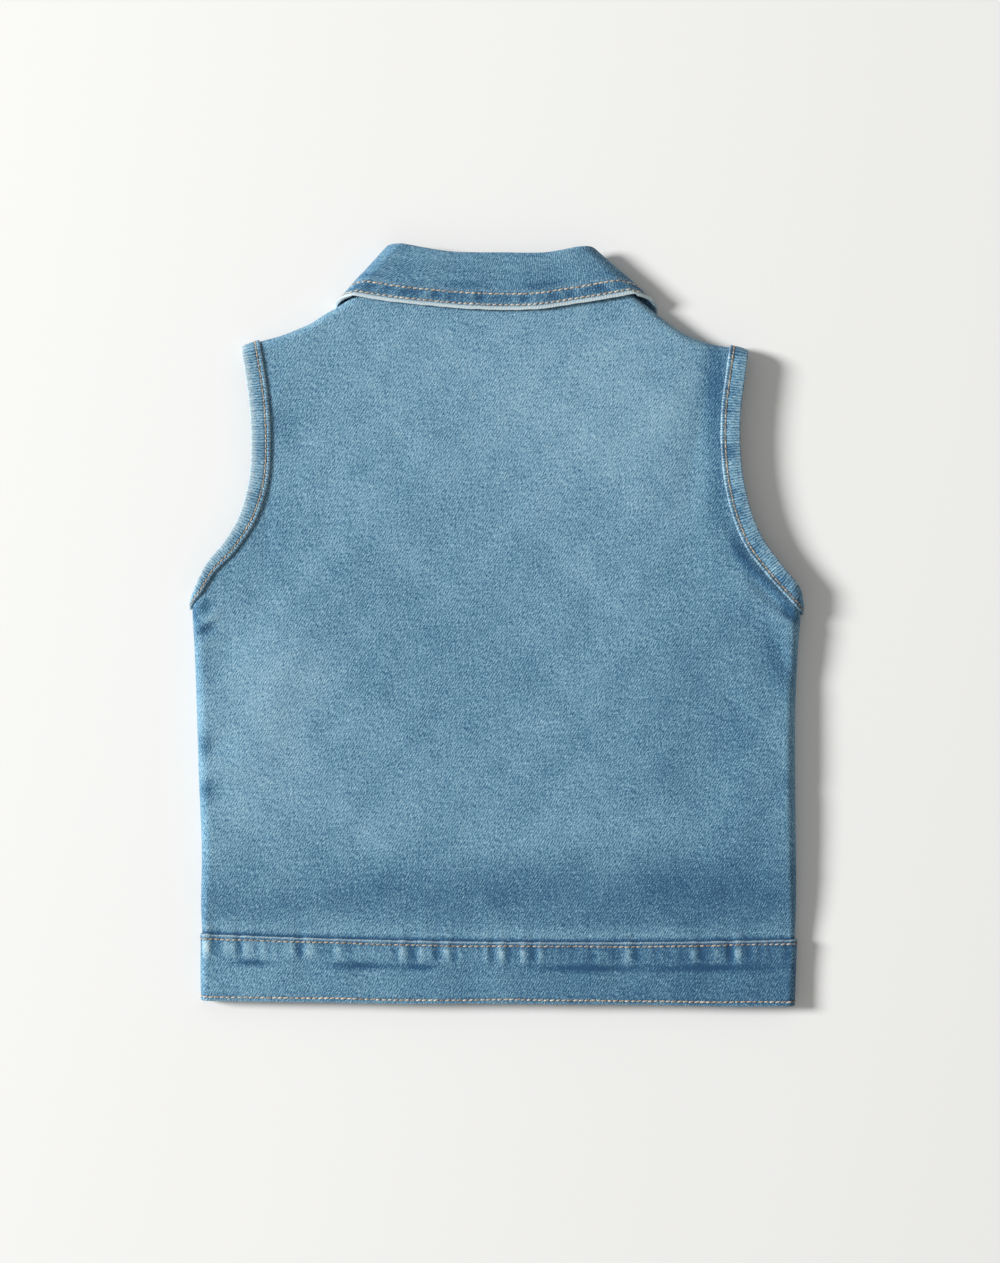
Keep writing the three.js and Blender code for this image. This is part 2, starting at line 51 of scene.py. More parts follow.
cloth = {"wall": 1.1, "ply": 1.0, "gap": 0.3}
proud = cloth["ply"] + cloth["gap"]
vest = {"foot": -184, "lap": 8, "hem": -216, "hemTilt": -0.0085, "armpit": 12, "placketTop": 128, "neckY": 195}
seamLine = vest["foot"] + vest["lap"]
bandDepth = seamLine - vest["hem"]
waistSag = {"depth": 4.6, "lowest": 50, "reach": 215, "fade": -100}
sideX = 170
quarter = math.pi / 2

# Side folds by y, shoulder folds by x: key, left, right
sideFolds = [(-218, 168.4, 168.8), (-184, 168.6, 169.8), (-160, 169.5, 170.7), (-128, 169.0, 170.6),
             (-88, 170.6, 170.1), (-48, 171.8, 170.2), (-14, 173.0, 171.6), (8, 174.2, 173.2),
             (60, 174.6, 173.8)]
shoulderFolds = [(40, 224.0, 220.0), (62, 206.0, 202.4), (70, 199.6, 195.4), (76, 194.3, 190.2),
                 (84, 187.0, 183.4), (91, 182.0, 177.6), (98, 178.0, 172.2), (106, 172.8, 166.8),
                 (114, 169.2, 163.2), (124, 165.4, 160.2), (136, 162.0, 158.2), (150, 156.6, 153.4)]
shoulderCosine = 0.88
# Armhole of the back and neck edges on the flat cloth: key, left, right
armholes = [(12, 177.8, 176.9), (15, 175.3, 174.6), (20.5, 172.3, 171.7), (34.5, 165.4, 160.4),
            (48, 154.2, 150.6), (61.5, 146.4, 144.4), (75.5, 141.8, 140.4), (89.5, 139.4, 138.0),
            (107, 139.0, 136.9), (124, 139.8, 137.5), (138, 141.5, 139.2), (156, 144.3, 141.6),
            (164, 144.9, 142.3)]
frontScoop = {"depth": 11, "power": 0.8}   # how much deeper the front armholes are cut
tipX = {"left": 144.8, "right": 142.2}
backNeck = [(0, 184.9, 184.9), (10, 185.0, 185.5), (22, 185.6, 187.0), (42, 188.3, 190.6),
            (57, 193.4, 196.0), (67, 197.0, 198.2), (76, 199.0, 199.0)]
neckPoint = {"left": 76, "right": 71}
frontNeck = [(124, 12.8, 12.8), (129, 13.4, 13.4), (134, 22.2, 22.2), (143, 37.6, 37.6),
             (156, 56.2, 56.2), (173, 71.2, 70.5), (186, 79.8, 72.8), (197, 76.0, 71.0)]
# Height of the back: y, in the middle, beside the folds
backHeights = [(-218, 9.4, 7.8), (-180, 9.6, 8.0), (-150, 10.7, 10.8), (-100, 11.7, 12.4), (0, 12.0, 12.9),
               (70, 12.2, 12.7), (140, 12.0, 12.8), (172, 11.6, 11.9), (200, 11.6, 11.6)]
# x, y, reach along, reach across, rise, turn in degrees
softFolds = [(143, 20, 34, 12, 0.8, 128), (156, -26, 24, 11, -1.0, 108), (-156, -14, 16, 11, -0.8, 62),
             (-158, -70, 18, 11, -0.8, 15), (-156, -97, 16, 11, -0.7, -12), (-128, -40, 60, 16, 0.7, 70),
             (118, -80, 70, 18, -0.6, 76), (30, -128, 80, 14, 0.5, 8), (-60, 60, 80, 22, 0.5, 48),
             (112, 96, 50, 12, -0.7, 84)]
# Finer creases that only show here: beside the armpits, at the side folds and on the shoulders
fineCreases = [(157, 21, 24, 2.4, 1.3, 134), (160, 12, 18, 2.2, -1.4, 140), (164, 3, 9, 2.2, 1.1, 150),
               (164, -22, 20, 4.0, -0.8, 116), (150, 36, 20, 3.0, -0.5, 132), (-167, -4, 9, 3.0, -0.9, 40),
               (-163, 4, 12, 2.4, 0.6, 52), (-165, -70, 9, 3.5, -0.8, 8), (-163, -93, 10, 3.5, -0.8, -14),
               (-160, -82, 12, 4.0, 0.4, 0), (163, -92, 12, 4.0, -0.5, 12), (160, -140, 14, 4.0, 0.4, -10),
               (-162, -140, 14, 4.0, -0.4, 14), (-120, 138, 26, 5.0, 0.4, 62), (118, 128, 34, 4.5, -0.5, 80),
               (-131, 60, 30, 4.0, -0.4, 86)]
# What lifts the front off the surface
hemLift = {"amount": proud, "low": -174, "high": -156}
armholeLift = {"amount": proud, "near": 15, "far": 34, "low": -32, "high": -4}
collarLift = {"amount": 2.8, "near": 106, "far": 138}
closureLift = {"left": 2.3, "right": 5.0, "near": 13, "far": 58}


def smooth(value, low, high):
    t = np.clip((value - low) / (high - low), 0, 1)
    return t * t * (3 - 2 * t)


def hump(value, middle, reach):
    return np.exp(-((value - middle) / reach) ** 2)


# Sum of humps: height, middle and reach of each
def humps(value, rows):
    return sum(high * hump(value, middle, reach) for high, middle, reach in rows)


# Uneven waves: length, height and shift of each
def waves(x, rows):
    return sum(high * np.sin(2 * math.pi * x / long + shift) for long, high, shift in rows)


def column(side):
    return 1 if side == "left" else 2


def readTable(rows, pick, value):
    keys = np.array([row[0] for row in rows], float)
    values = np.array([row[pick] for row in rows], float)
    v = np.clip(value, keys[0], keys[-1])
    i = np.clip(np.searchsorted(keys, v, side="left") - 1, 0, len(keys) - 2)
    before = np.maximum(np.arange(len(keys)) - 1, 0)
    after = np.minimum(np.arange(len(keys)) + 1, len(keys) - 1)
    slope = (values[after] - values[before]) / (keys[after] - keys[before])
    step = keys[i + 1] - keys[i]
    t = (v - keys[i]) / step
    ends = values[i] * (1 + 2 * t) * (1 - t) ** 2 + values[i + 1] * (3 - 2 * t) * t * t
    return ends + step * (slope[i] * t * (1 - t) ** 2 - slope[i + 1] * t * t * (1 - t))


def bySide(x, left, right):
    return np.where(x < 0, left, right)


def sagAt(x):
    return waistSag["depth"] * np.maximum(0, 1 - ((x - waistSag["lowest"]) / waistSag["reach"]) ** 2)


def panelDrop(x, y):
    return sagAt(x) * (1 - smooth(y, vest["foot"], waistSag["fade"]))


def bandDrop(x, y):
    cut = vest["foot"] - cloth["gap"]
    share = np.maximum(0, (cut - y) / (cut - vest["hem"]))
    return sagAt(x) * (1 - share) - vest["hemTilt"] * x * share


def foldSum(rows, x, y):
    height = np.zeros(np.broadcast(x, y).shape)
    for foldX, foldY, along, across, rise, turn in rows:
        c, s = math.cos(math.radians(turn)), math.sin(math.radians(turn))
        a = (x - foldX) * c + (y - foldY) * s
        b = (y - foldY) * c - (x - foldX) * s
        height += rise * np.exp(-(a / along) ** 2 - (b / across) ** 2)
    return height


# Gathers along a topstitched seam, stronger in some stretches than in others
puckerWaves = [(11.9, 0.56, 0.4), (8.3, 0.42, 1.9), (15.1, 0.36, 4.2), (5.6, 0.20, 2.7)]
puckerDrift = [(140, 0.55, 0.3), (61, 0.45, 2.2)]
puckerSettings = {"even": 0.62, "uneven": 0.38, "driftShift": 40, "shift": 23, "sway": 3, "swayLong": 29}


def puckers(x):
    settings = puckerSettings
    strength = settings["even"] + settings["uneven"] * waves(x + settings["driftShift"], puckerDrift)
    sway = settings["sway"] * np.sin(x / settings["swayLong"])
    return strength * waves(x + settings["shift"] + sway, puckerWaves)


def backHeight(x, y):
    beside = np.minimum(1, np.abs(x) / sideX) ** 2
    height = readTable(backHeights, 1, y) * (1 - beside) + readTable(backHeights, 2, y) * beside
    return height + foldSum(softFolds, x, y)


def frontArmhole(side, y):
    reach = readTable(armholes, column(side), y)
    tipY = readTable(shoulderFolds, column(side), reach)
    along = np.clip((y - vest["armpit"]) / (tipY - vest["armpit"]), 0, 1)
    return reach - frontScoop["depth"] * np.sin(math.pi * along) ** frontScoop["power"]


def frontHeight(side, x, y):
    inward = signs[side] * x
    hem = hemLift["amount"] * (1 - smooth(y, hemLift["low"], hemLift["high"]))
    fromArmhole = frontArmhole(side, np.maximum(vest["armpit"], y)) - inward
    near = 1 - smooth(fromArmhole, armholeLift["near"], armholeLift["far"])
    armhole = armholeLift["amount"] * near * smooth(y, armholeLift["low"], armholeLift["high"])
    fromNeck = np.hypot(x, y - vest["neckY"])
    collar = collarLift["amount"] * (1 - smooth(fromNeck, collarLift["near"], collarLift["far"]))
    closure = closureLift[side] * (1 - smooth(inward, closureLift["near"], closureLift["far"]))
    return hem + armhole * (1 - collar / collarLift["amount"]) + np.hypot(collar, closure)


# A point of the flat cloth on a panel's outer face. Near a fold the cloth turns down to half height.
def place(panel, flatX, flatY):
    flatX, flatY = np.broadcast_arrays(np.asarray(flatX, float), np.asarray(flatY, float))
    sign = np.where(flatX < 0, -1.0, 1.0)
    foldX = bySide(flatX, readTable(sideFolds, 1, flatY), readTable(sideFolds, 2, flatY))
    reach = np.abs(flatX)
    foldY = bySide(flatX, readTable(shoulderFolds, 1, reach), readTable(shoulderFolds, 2, reach))
    nearX, nearY = sign * np.minimum(reach, foldX), np.minimum(flatY, foldY)
    top = backHeight(nearX, nearY)
    if panel.get("side"):
        bottom = frontHeight(panel["side"], nearX, nearY)
    else:
        bottom = bySide(flatX, frontHeight("left", nearX, nearY), frontHeight("right", nearX, nearY))
    radius = (top - bottom) / 2
    spare = (quarter - 1) * radius
    sideTurn = np.minimum((foldX + spare - reach) / radius, quarter)
    x = np.where(sideTurn < quarter, sign * (foldX - radius * (1 - np.cos(sideTurn))), flatX)
    tipTurn = np.minimum(((foldY - flatY) * shoulderCosine + spare) / radius, quarter)
    y = np.where(tipTurn < quarter, foldY - radius * (1 - np.cos(tipTurn)) / shoulderCosine, flatY)
    turn = np.minimum(sideTurn, tipTurn)
    z = (top + bottom) / 2 + panel["face"] * radius * np.sin(turn)
    points = np.stack([x, y, z], axis=-1)
    if panel.get("relief"):
        points[..., 2] += panel["relief"](flatX, flatY) * np.sin(np.clip(turn, 0, quarter))
    return points


# The same point moved out of the panel, with the direction that it moved in
def lift(panel, flatX, flatY, amount):
    step = 0.2
    alongX = place(panel, flatX + step, flatY) - place(panel, flatX - step, flatY)
    alongY = place(panel, flatX, flatY + step) - place(panel, flatX, flatY - step)
    normal = np.cross(alongX, alongY) * panel["face"]
    normal /= np.linalg.norm(normal, axis=-1, keepdims=True)
    return place(panel, flatX, flatY) + normal * np.asarray(amount)[..., None], normal


def flatSide(side, y):
    foldX = readTable(sideFolds, column(side), y)
    x = signs[side] * foldX
    radius = (backHeight(x, y) - frontHeight(side, x, y)) / 2
    return foldX + (quarter - 1) * radius - cloth["gap"] / 2


def flatShoulder(side, reach):
    foldY = readTable(shoulderFolds, column(side), reach)
    x = signs[side] * reach
    radius = (backHeight(x, foldY) - frontHeight(side, x, foldY)) / 2
    return foldY + ((quarter - 1) * radius - cloth["gap"] / 2) / shoulderCosine


flatTip = {side: (tipX[side], float(flatShoulder(side, tipX[side]))) for side in sides}


def outerEdge(side, y, front):
    reach = frontArmhole(side, y) if front else readTable(armholes, column(side), y)
    return np.where(y <= vest["armpit"], flatSide(side, y), np.minimum(reach, flatSide(side, y)))


def clearSelection():
    if bpy.context.object and bpy.context.object.mode != "OBJECT":
        bpy.ops.object.mode_set(mode="OBJECT")
    bpy.ops.object.select_all(action="DESELECT")


def choose(piece):
    clearSelection()
    piece.select_set(True)
    bpy.context.view_layer.objects.active = piece


# A flat grid, and where each of its points lies across and along it, from 0 to 1
def gridPiece(name, columns, rows):
    clearSelection()
    bpy.ops.mesh.primitive_grid_add(x_subdivisions=columns, y_subdivisions=rows, size=1, location=(0, 0, 0))
    piece = bpy.context.object
    piece.name = name
    piece.data.name = name
    flat = np.empty(len(piece.data.vertices) * 3)
    piece.data.vertices.foreach_get("co", flat)
    flat = flat.reshape(-1, 3)
    return piece, flat[:, 0] + 0.5, flat[:, 1] + 0.5


# Gives a grid its form in millimetres, its weave map in metres and its tone map: wear and wash, both also
# carrying painted shade and highlights in places
def shapePiece(piece, points, weave, tone):
    mesh = piece.data
    points[:, 2] = np.maximum(points[:, 2], 0)
    mesh.vertices.foreach_set("co", (points * mm).ravel())
    corners = np.empty(len(mesh.loops), int)
    mesh.loops.foreach_get("vertex_index", corners)
    mesh.uv_layers[0].name = "weave"
    mesh.uv_layers["weave"].data.foreach_set("uv", (np.stack(weave, axis=-1) * mm)[corners].ravel())
    mesh.uv_layers.new(name="tone").data.foreach_set("uv", np.stack(tone, axis=-1)[corners].ravel())
    mesh.update()


# Turns the faces over where the face nearest to a spot doesn't look the given way
def pointOut(piece, spot, way):
    nearest = min(piece.data.polygons, key=lambda face: (face.center - Vector(spot)).length)
    if nearest.normal.dot(Vector(way)) < 0:
        choose(piece)
        bpy.ops.object.mode_set(mode="EDIT")
        bpy.ops.mesh.select_all(action="SELECT")
        bpy.ops.mesh.flip_normals()
        bpy.ops.object.mode_set(mode="OBJECT")


def applyModifier(piece, kind, **settings):
    choose(piece)
    modifier = piece.modifiers.new(kind.title(), kind)
    for key, value in settings.items():
        setattr(modifier, key, value)
    bpy.ops.object.modifier_apply(modifier=modifier.name)


def softShade(piece, angle=50):
    choose(piece)
    bpy.ops.object.shade_smooth_by_angle(angle=math.radians(angle))


def thicken(piece, wall):
    applyModifier(piece, "SOLIDIFY", thickness=wall * mm, offset=-1.0, use_even_offset=False)


# Joins the two long edges of a rolled grid and covers its ends
def closeTube(piece):
    choose(piece)
    bpy.ops.object.mode_set(mode="EDIT")
    bpy.ops.mesh.select_all(action="SELECT")
    bpy.ops.mesh.remove_doubles(threshold=0.000002)
    bpy.ops.mesh.select_all(action="DESELECT")
    bpy.ops.mesh.select_mode(type="EDGE")
    bpy.ops.mesh.select_non_manifold()
    bpy.ops.mesh.fill(use_beauty=False)
    bpy.ops.mesh.select_all(action="SELECT")
    bpy.ops.mesh.normals_make_consistent(inside=False)
    bpy.ops.mesh.select_mode(type="VERT")
    bpy.ops.object.mode_set(mode="OBJECT")


# Wash of the back, with painted shade in dents at the side folds and a painted highlight on the soft fold at
# the left: photo x, photo y, reach across, reach down, amount
fadeAndShadePatches = [
    (560, 400, 150, 95, 0.22), (650, 440, 60, 70, 0.10), (380, 350, 80, 40, 0.07), (345, 470, 55, 60, 0.07),
    # (270, 690) is a painted highlight on the soft fold at the left
    (270, 690, 55, 85, 0.30), (235, 800, 40, 40, 0.10), (610, 600, 60, 50, 0.06), (620, 820, 90, 30, 0.07),
    (350, 810, 80, 35, 0.05), (260, 400, 34, 90, -0.16), (455, 400, 40, 50, -0.06), (430, 495, 60, 30, -0.06),
    (250, 560, 50, 50, -0.12), (350, 600, 60, 35, -0.07), (420, 700, 60, 45, -0.06), (720, 640, 70, 120, -0.12),
    (530, 655, 60, 40, -0.05), (500, 893, 340, 32, -0.44), (740, 890, 90, 40, -0.32), (230, 905, 60, 22, -0.10),
    (700, 760, 90, 80, -0.08), (480, 760, 90, 30, 0.04), (714, 385, 12, 60, -0.75), (718, 480, 11, 55, -0.36),
    (742, 545, 12, 22, -0.26), (722, 345, 10, 36, -0.18), (640, 922, 150, 9, -0.16), (240, 770, 16, 14, 0.15),
    (250, 890, 45, 14, 0.15), (755, 815, 28, 50, -0.15),
    # (770, 650), (206, 628), (205, 745) and (207, 790) are painted shade in dents at the side folds
    (770, 650, 14, 34, -0.20), (660, 350, 50, 22, 0.06), (330, 330, 40, 18, 0.05), (300, 925, 70, 8, 0.06),
    (700, 760, 90, 160, -0.10), (430, 640, 130, 60, -0.08), (500, 770, 120, 60, -0.08), (206, 628, 8, 10, -0.4),
    (205, 745, 7, 12, -0.4), (207, 790, 8, 9, -0.5),
]
# Dark strips beside folds and pale ones on them, at the left side fold painted shade in its dents and a painted
# highlight on the ridge between them: x, y, reach along, reach across, amount, turn
fadeAndShadeStrips = [(152, 25.5, 21, 2.7, -0.85, 134), (165.6, 7.7, 8, 3.0, -1.0, 134), (161, 12.5, 9, 1.4, 0.5, 134),
              # The strips at x near -170 are painted shade in the dents of the left side fold, with a painted
              # highlight between them
              (159, -22, 16, 4.0, -0.25, 110), (-167.3, 10.5, 6, 4.0, -0.7, 30),
              (-173.5, 6.5, 7, 2.0, -0.7, 105), (-169, -2, 7, 2.5, -0.5, 20), (-166, 2.5, 8, 1.6, 0.3, 30),
              (138, 42, 16, 3.0, -0.5, 118)]
# Length across, length along, amount, shift
washWaves = [(83, 61, 0.045, 0.7), (47, 71, 0.04, 2.1), (31, 37, 0.035, 4.4), (19, 29, 0.02, 1.2)]
middleWash = 0.5


# How faded the back is, with painted shade and highlights at its folds
def backFadeAndShade(x, y):
    level = np.full(np.broadcast(x, y).shape, middleWash)
    scale = photo["mmPerPixel"]
    for photoX, photoY, across, down, amount in fadeAndShadePatches:
        middleX = (photoX - photo["middleX"]) * scale
        middleY = (photo["middleY"] - photoY) * scale
        level += amount * hump(x, middleX, across * scale) * hump(y, middleY, down * scale)
    level += foldSum(fadeAndShadeStrips, x, y)
    for longX, longY, amount, shift in washWaves:
        level += amount * waves(x, [(longX, 1, shift)]) * waves(y, [(longY, 1, 2 * shift)])
    return level


# A shader socket that can be added, multiplied and so on
class Socket:
    def __init__(self, tree, link=None):
        self.tree = tree
        self.link = link

    # Makes a node: its type, its settings, then its inputs by name or as i0, i1 and so on
    def make(self, kind, settings=None, **inputs):
        node = self.tree.nodes.new(kind)
        for key, value in (settings or {}).items():
            setattr(node, key, value)
        for key, value in inputs.items():
            socket = node.inputs[int(key[1:])] if key[0] == "i" and key[1:].isdigit() else node.inputs[key]
            if isinstance(value, Socket):
                self.tree.links.new(value.link, socket)
            else:
                socket.default_value = value
        return node

    def reckon(self, operation, first, second=0.0):
        node = self.make("ShaderNodeMath", {"operation": operation}, i0=first, i1=second)
        return Socket(self.tree, node.outputs[0])

    def __add__(self, other):
        return self.reckon("ADD", self, other)

    def __radd__(self, other):
        return self.reckon("ADD", other, self)

    def __sub__(self, other):
        return self.reckon("SUBTRACT", self, other)

    def __rsub__(self, other):
        return self.reckon("SUBTRACT", other, self)

    def __mul__(self, other):
        return self.reckon("MULTIPLY", self, other)

    def __rmul__(self, other):
        return self.reckon("MULTIPLY", other, self)

    def __truediv__(self, other):
        return self.reckon("DIVIDE", self, other)

    def __rtruediv__(self, other):
        return self.reckon("DIVIDE", other, self)

    def sine(self):
        return self.reckon("SINE", self)

    # This value's way from low to high, from 0 to 1
    def between(self, low, high, kind="SMOOTHSTEP"):
        node = self.make("ShaderNodeMapRange", {"interpolation_type": kind}, i0=self, i1=low, i2=high)
        return Socket(self.tree, node.outputs[0])

    # A colour between two, by this value
    def mixed(self, dark, light):
        node = self.make("ShaderNodeMix", {"data_type": "RGBA"}, i0=self, i6=dark, i7=light)
        return Socket(self.tree, node.outputs[2])

    def stretched(self, x, y):
        node = self.make("ShaderNodeMapping", {}, Vector=self, Scale=(x, y, 1.0))
        return Socket(self.tree, node.outputs[0])

    # A flat vector of this value and another, each over its own length
    def joined(self, other, first, second):
        node = self.make("ShaderNodeCombineXYZ", {}, X=self / first, Y=other / second)
        return Socket(self.tree, node.outputs[0])

    def noise(self, scale, detail=2.0, rough=0.5):
        node = self.make("ShaderNodeTexNoise", {}, Vector=self, Scale=scale, Detail=detail, Roughness=rough)
        return Socket(self.tree, node.outputs["Fac"])


def startMaterial(name):
    material = bpy.data.materials.new(name)
    material.use_nodes = True
    tree = material.node_tree
    shader = next(node for node in tree.nodes if node.type == "BSDF_PRINCIPLED")
    return material, tree, shader


def uvMap(tree, name):
    both = Socket(tree, Socket(tree).make("ShaderNodeUVMap", {"uv_map": name}).outputs[0])
    parts = both.make("ShaderNodeSeparateXYZ", {}, i0=both)
    return both, Socket(tree, parts.outputs[0]), Socket(tree, parts.outputs[1])


def objectSpot(tree):
    return Socket(tree, Socket(tree).make("ShaderNodeTexCoord").outputs["Object"])


# Denim: indigo warp and pale weft, faded by the tone map and worn pale on folds; the tone map also carries
# painted shade and highlights. Lengths are metres.
weaveSettings = {
    "lean": 60.0, "pitch": 0.0013, "ribs": 1.0, "wobbleScale": 300.0, "wobble": 7.0, "ridgeTone": 0.435,
    "dashWide": 0.00062, "dashLong": 0.0021, "dashRough": 0.6, "dashTone": 2.43,
    "rub": 0.9, "rubLow": 0.12, "rubHigh": 0.95, "bump": 0.55, "bumpHeight": 0.00022,
    "ridgeBump": 0.5, "speckleBump": 0.7, "warpBump": 0.3,
    "roughness": 0.93, "specular": 0.18, "sheen": 0.12, "sheenRough": 0.6,
}
# Unevenness of the yarns: stretch across, stretch along, scale, detail, roughness, effect on the tone
yarnNoise = {
    "speckle": (1.0, 1.0, 1550.0, 1.0, 0.7, 2.24), "fleck": (1.0, 1.0, 900.0, 1.0, 0.5, 0.90),
    "warp": (1.0, 0.055, 900.0, 2.0, 0.5, 0.45), "weft": (0.05, 1.0, 820.0, 2.0, 0.5, 0.40),
    "cloud": (1.0, 1.0, 46.0, 4.0, 0.62, 0.42), "blotch": (1.0, 1.0, 150.0, 3.0, 0.6, 0.40),
}
deepIndigo = (0.016, 0.072, 0.160, 1)
wornCotton = (0.600, 0.700, 0.730, 1)
# Tone where the colour starts, tone where it is full, colour
fadeSteps = [(-0.45, 0.10, (0.055, 0.158, 0.268, 1)), (0.10, 0.50, (0.134, 0.284, 0.402, 1)),
             (0.50, 0.95, (0.245, 0.425, 0.548, 1)), (0.95, 1.70, (0.440, 0.600, 0.680, 1))]


def makeDenim(name, **changes):
    settings = {**weaveSettings, **changes}
    material, tree, shader = startMaterial(name)
    weave, across, along = uvMap(tree, "weave")
    _, worn, wash = uvMap(tree, "tone")
    lean = math.radians(settings["lean"])
    beside = across * math.sin(lean) - along * math.cos(lean)
    onward = across * math.cos(lean) + along * math.sin(lean)
    wobble = weave.noise(settings["wobbleScale"]) * settings["wobble"]
    ridge = (beside * (2 * math.pi / settings["pitch"]) + wobble).sine() * 0.5 + 0.5
    dashes = beside.joined(onward, settings["dashWide"], settings["dashLong"])
    dashes = dashes.noise(1.0, 1.0, settings["dashRough"])
    level = wash + (ridge - 0.5) * (settings["ridgeTone"] * settings["ribs"])
    level = level + (dashes - 0.5) * settings["dashTone"]
    yarn = {}
    for part, (wide, long, scale, detail, rough, tone) in yarnNoise.items():
        yarn[part] = weave.stretched(wide, long).noise(scale, detail, rough)
        level = level + (yarn[part] - 0.5) * tone
    colour = deepIndigo
    for start, end, tint in fadeSteps:
        colour = level.between(start, end, "LINEAR").mixed(colour, tint)
    rubbed = worn + (yarn["speckle"] - 0.5) * settings["rub"] * worn
    colour = rubbed.between(settings["rubLow"], settings["rubHigh"]).mixed(colour, wornCotton)
    tree.links.new(colour.link, shader.inputs["Base Color"])
    height = ridge * settings["ridgeBump"] + yarn["speckle"] * settings["speckleBump"]
    height = height + yarn["warp"] * settings["warpBump"]
    bump = height.make("ShaderNodeBump", {}, Strength=settings["bump"], Distance=settings["bumpHeight"],
                       Height=height)
    tree.links.new(bump.outputs[0], shader.inputs["Normal"])
    shader.inputs["Roughness"].default_value = settings["roughness"]
    shader.inputs["Specular IOR Level"].default_value = settings["specular"]
    shader.inputs["Sheen Weight"].default_value = settings["sheen"]
    shader.inputs["Sheen Roughness"].default_value = settings["sheenRough"]
    return material


threadSettings = {"shadeScale": 420.0, "shadeLow": 0.35, "shadeHigh": 0.65, "fibreScale": 5000.0, "bump": 0.5,
                  "bumpHeight": 0.0001, "roughness": 0.6}


def makeThread(name, dark, light):
    settings = threadSettings
    material, tree, shader = startMaterial(name)
    spot = objectSpot(tree)
    shade = spot.noise(settings["shadeScale"], 3.0, 0.7).between(settings["shadeLow"], settings["shadeHigh"])
    tree.links.new(shade.mixed(dark, light).link, shader.inputs["Base Color"])
    bump = shade.make("ShaderNodeBump", {}, Strength=settings["bump"], Distance=settings["bumpHeight"],
                      Height=spot.noise(settings["fibreScale"], 1.0))
    tree.links.new(bump.outputs[0], shader.inputs["Normal"])
    shader.inputs["Roughness"].default_value = settings["roughness"]
    return material


metalSettings = {"markScale": 900.0, "dark": (0.42, 0.42, 0.41, 1), "light": (0.66, 0.66, 0.64, 1),
                 "smoothest": 0.25, "rougher": 0.25}


def makeMetal(name):
    settings = metalSettings
    material, tree, shader = startMaterial(name)
    marks = objectSpot(tree).noise(settings["markScale"], 3.0, 0.6)
    colour = marks.between(0.3, 0.7).mixed(settings["dark"], settings["light"])
    tree.links.new(colour.link, shader.inputs["Base Color"])
    tree.links.new((marks * settings["rougher"] + settings["smoothest"]).link, shader.inputs["Roughness"])
    shader.inputs["Metallic"].default_value = 1.0
    return material


bodyDenim = makeDenim("denimBody")
collarDenim = makeDenim("denimCollar")
bindingDenim = makeDenim("denimBinding", lean=90.0, pitch=0.0015, ribs=1.8)
waistDenim = makeDenim("denimWaistband")
paleThread = makeThread("threadPale", (0.23, 0.17, 0.12, 1), (0.70, 0.61, 0.50, 1))
goldThread = makeThread("threadGold", (0.20, 0.14, 0.09, 1), (0.61, 0.48, 0.34, 1))
# A darker copy of the pale thread: painted shade on the stitches along the waistband's top seam
shadedThread = makeThread("threadShaded", (0.17, 0.13, 0.10, 1), (0.52, 0.45, 0.37, 1))
buttonMetal = makeMetal("buttonMetal")


def finishPiece(piece, material, slotName, *nodes):
    piece.data.materials.clear()
    piece.data.materials.append(material)
    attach(piece, "root")
    if nodes:
        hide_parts(*nodes)


# Panels. "across" and "up" say where shares of the grid's lines lie, and "flat" is metres.
backSettings = {
    "columns": 170, "rows": 200, "flat": (0.356, 0.388),
    "across": ([0, 0.10, 0.90, 1], [0, 0.04, 0.96, 1]), "up": ([0, 0.16, 0.93, 1], [0, 0.08, 0.965, 1]),
    "puckerReach": 9, "puckerRise": 0.30, "ripple": 0.12, "reliefTone": 0.10,
    # Painted shadow along the waist seam: its darkness, its reach, and how its width follows the puckers
    "seamShadow": 1.1, "seamShadowReach": 1.5, "seamShadowSpread": 0.6, "seamShadowStretch": 1.7,
}
rippleAlong = [(39, 0.6, 0.5), (23, 0.5, 2.0)]
rippleAcross = [(57, 0.7, 1.1), (31, 0.4, 3.0)]
frontSettings = {
    "columns": 84, "rows": 150, "flat": (0.168, 0.388), "washShare": 0.6,
    "across": ([0, 0.2, 1], [0, 0.075, 1]), "up": ([0, 0.16, 0.92, 1], [0, 0.10, 0.96, 1]),
}


def backRelief(x, y):
    settings = backSettings
    above = np.exp(-np.maximum(0, y - seamLine + sagAt(x)) / settings["puckerReach"])
    ripple = settings["ripple"] * waves(x + 0.4 * y, rippleAlong) * waves(y - 0.3 * x, rippleAcross)
    return foldSum(fineCreases, x, y) + settings["puckerRise"] * above * puckers(x) + ripple


def backTop(x):
    reach = np.abs(x)
    point = bySide(x, neckPoint["left"], neckPoint["right"])
    neck = bySide(x, readTable(backNeck, 1, reach), readTable(backNeck, 2, reach))
    shoulder = bySide(x, flatShoulder("left", reach), flatShoulder("right", reach))
    return np.where(reach < point, neck, shoulder)


def finishPanel(piece, node):
    thicken(piece, cloth["wall"])
    softShade(piece)
    finishPiece(piece, bodyDenim, "denim_body", node)


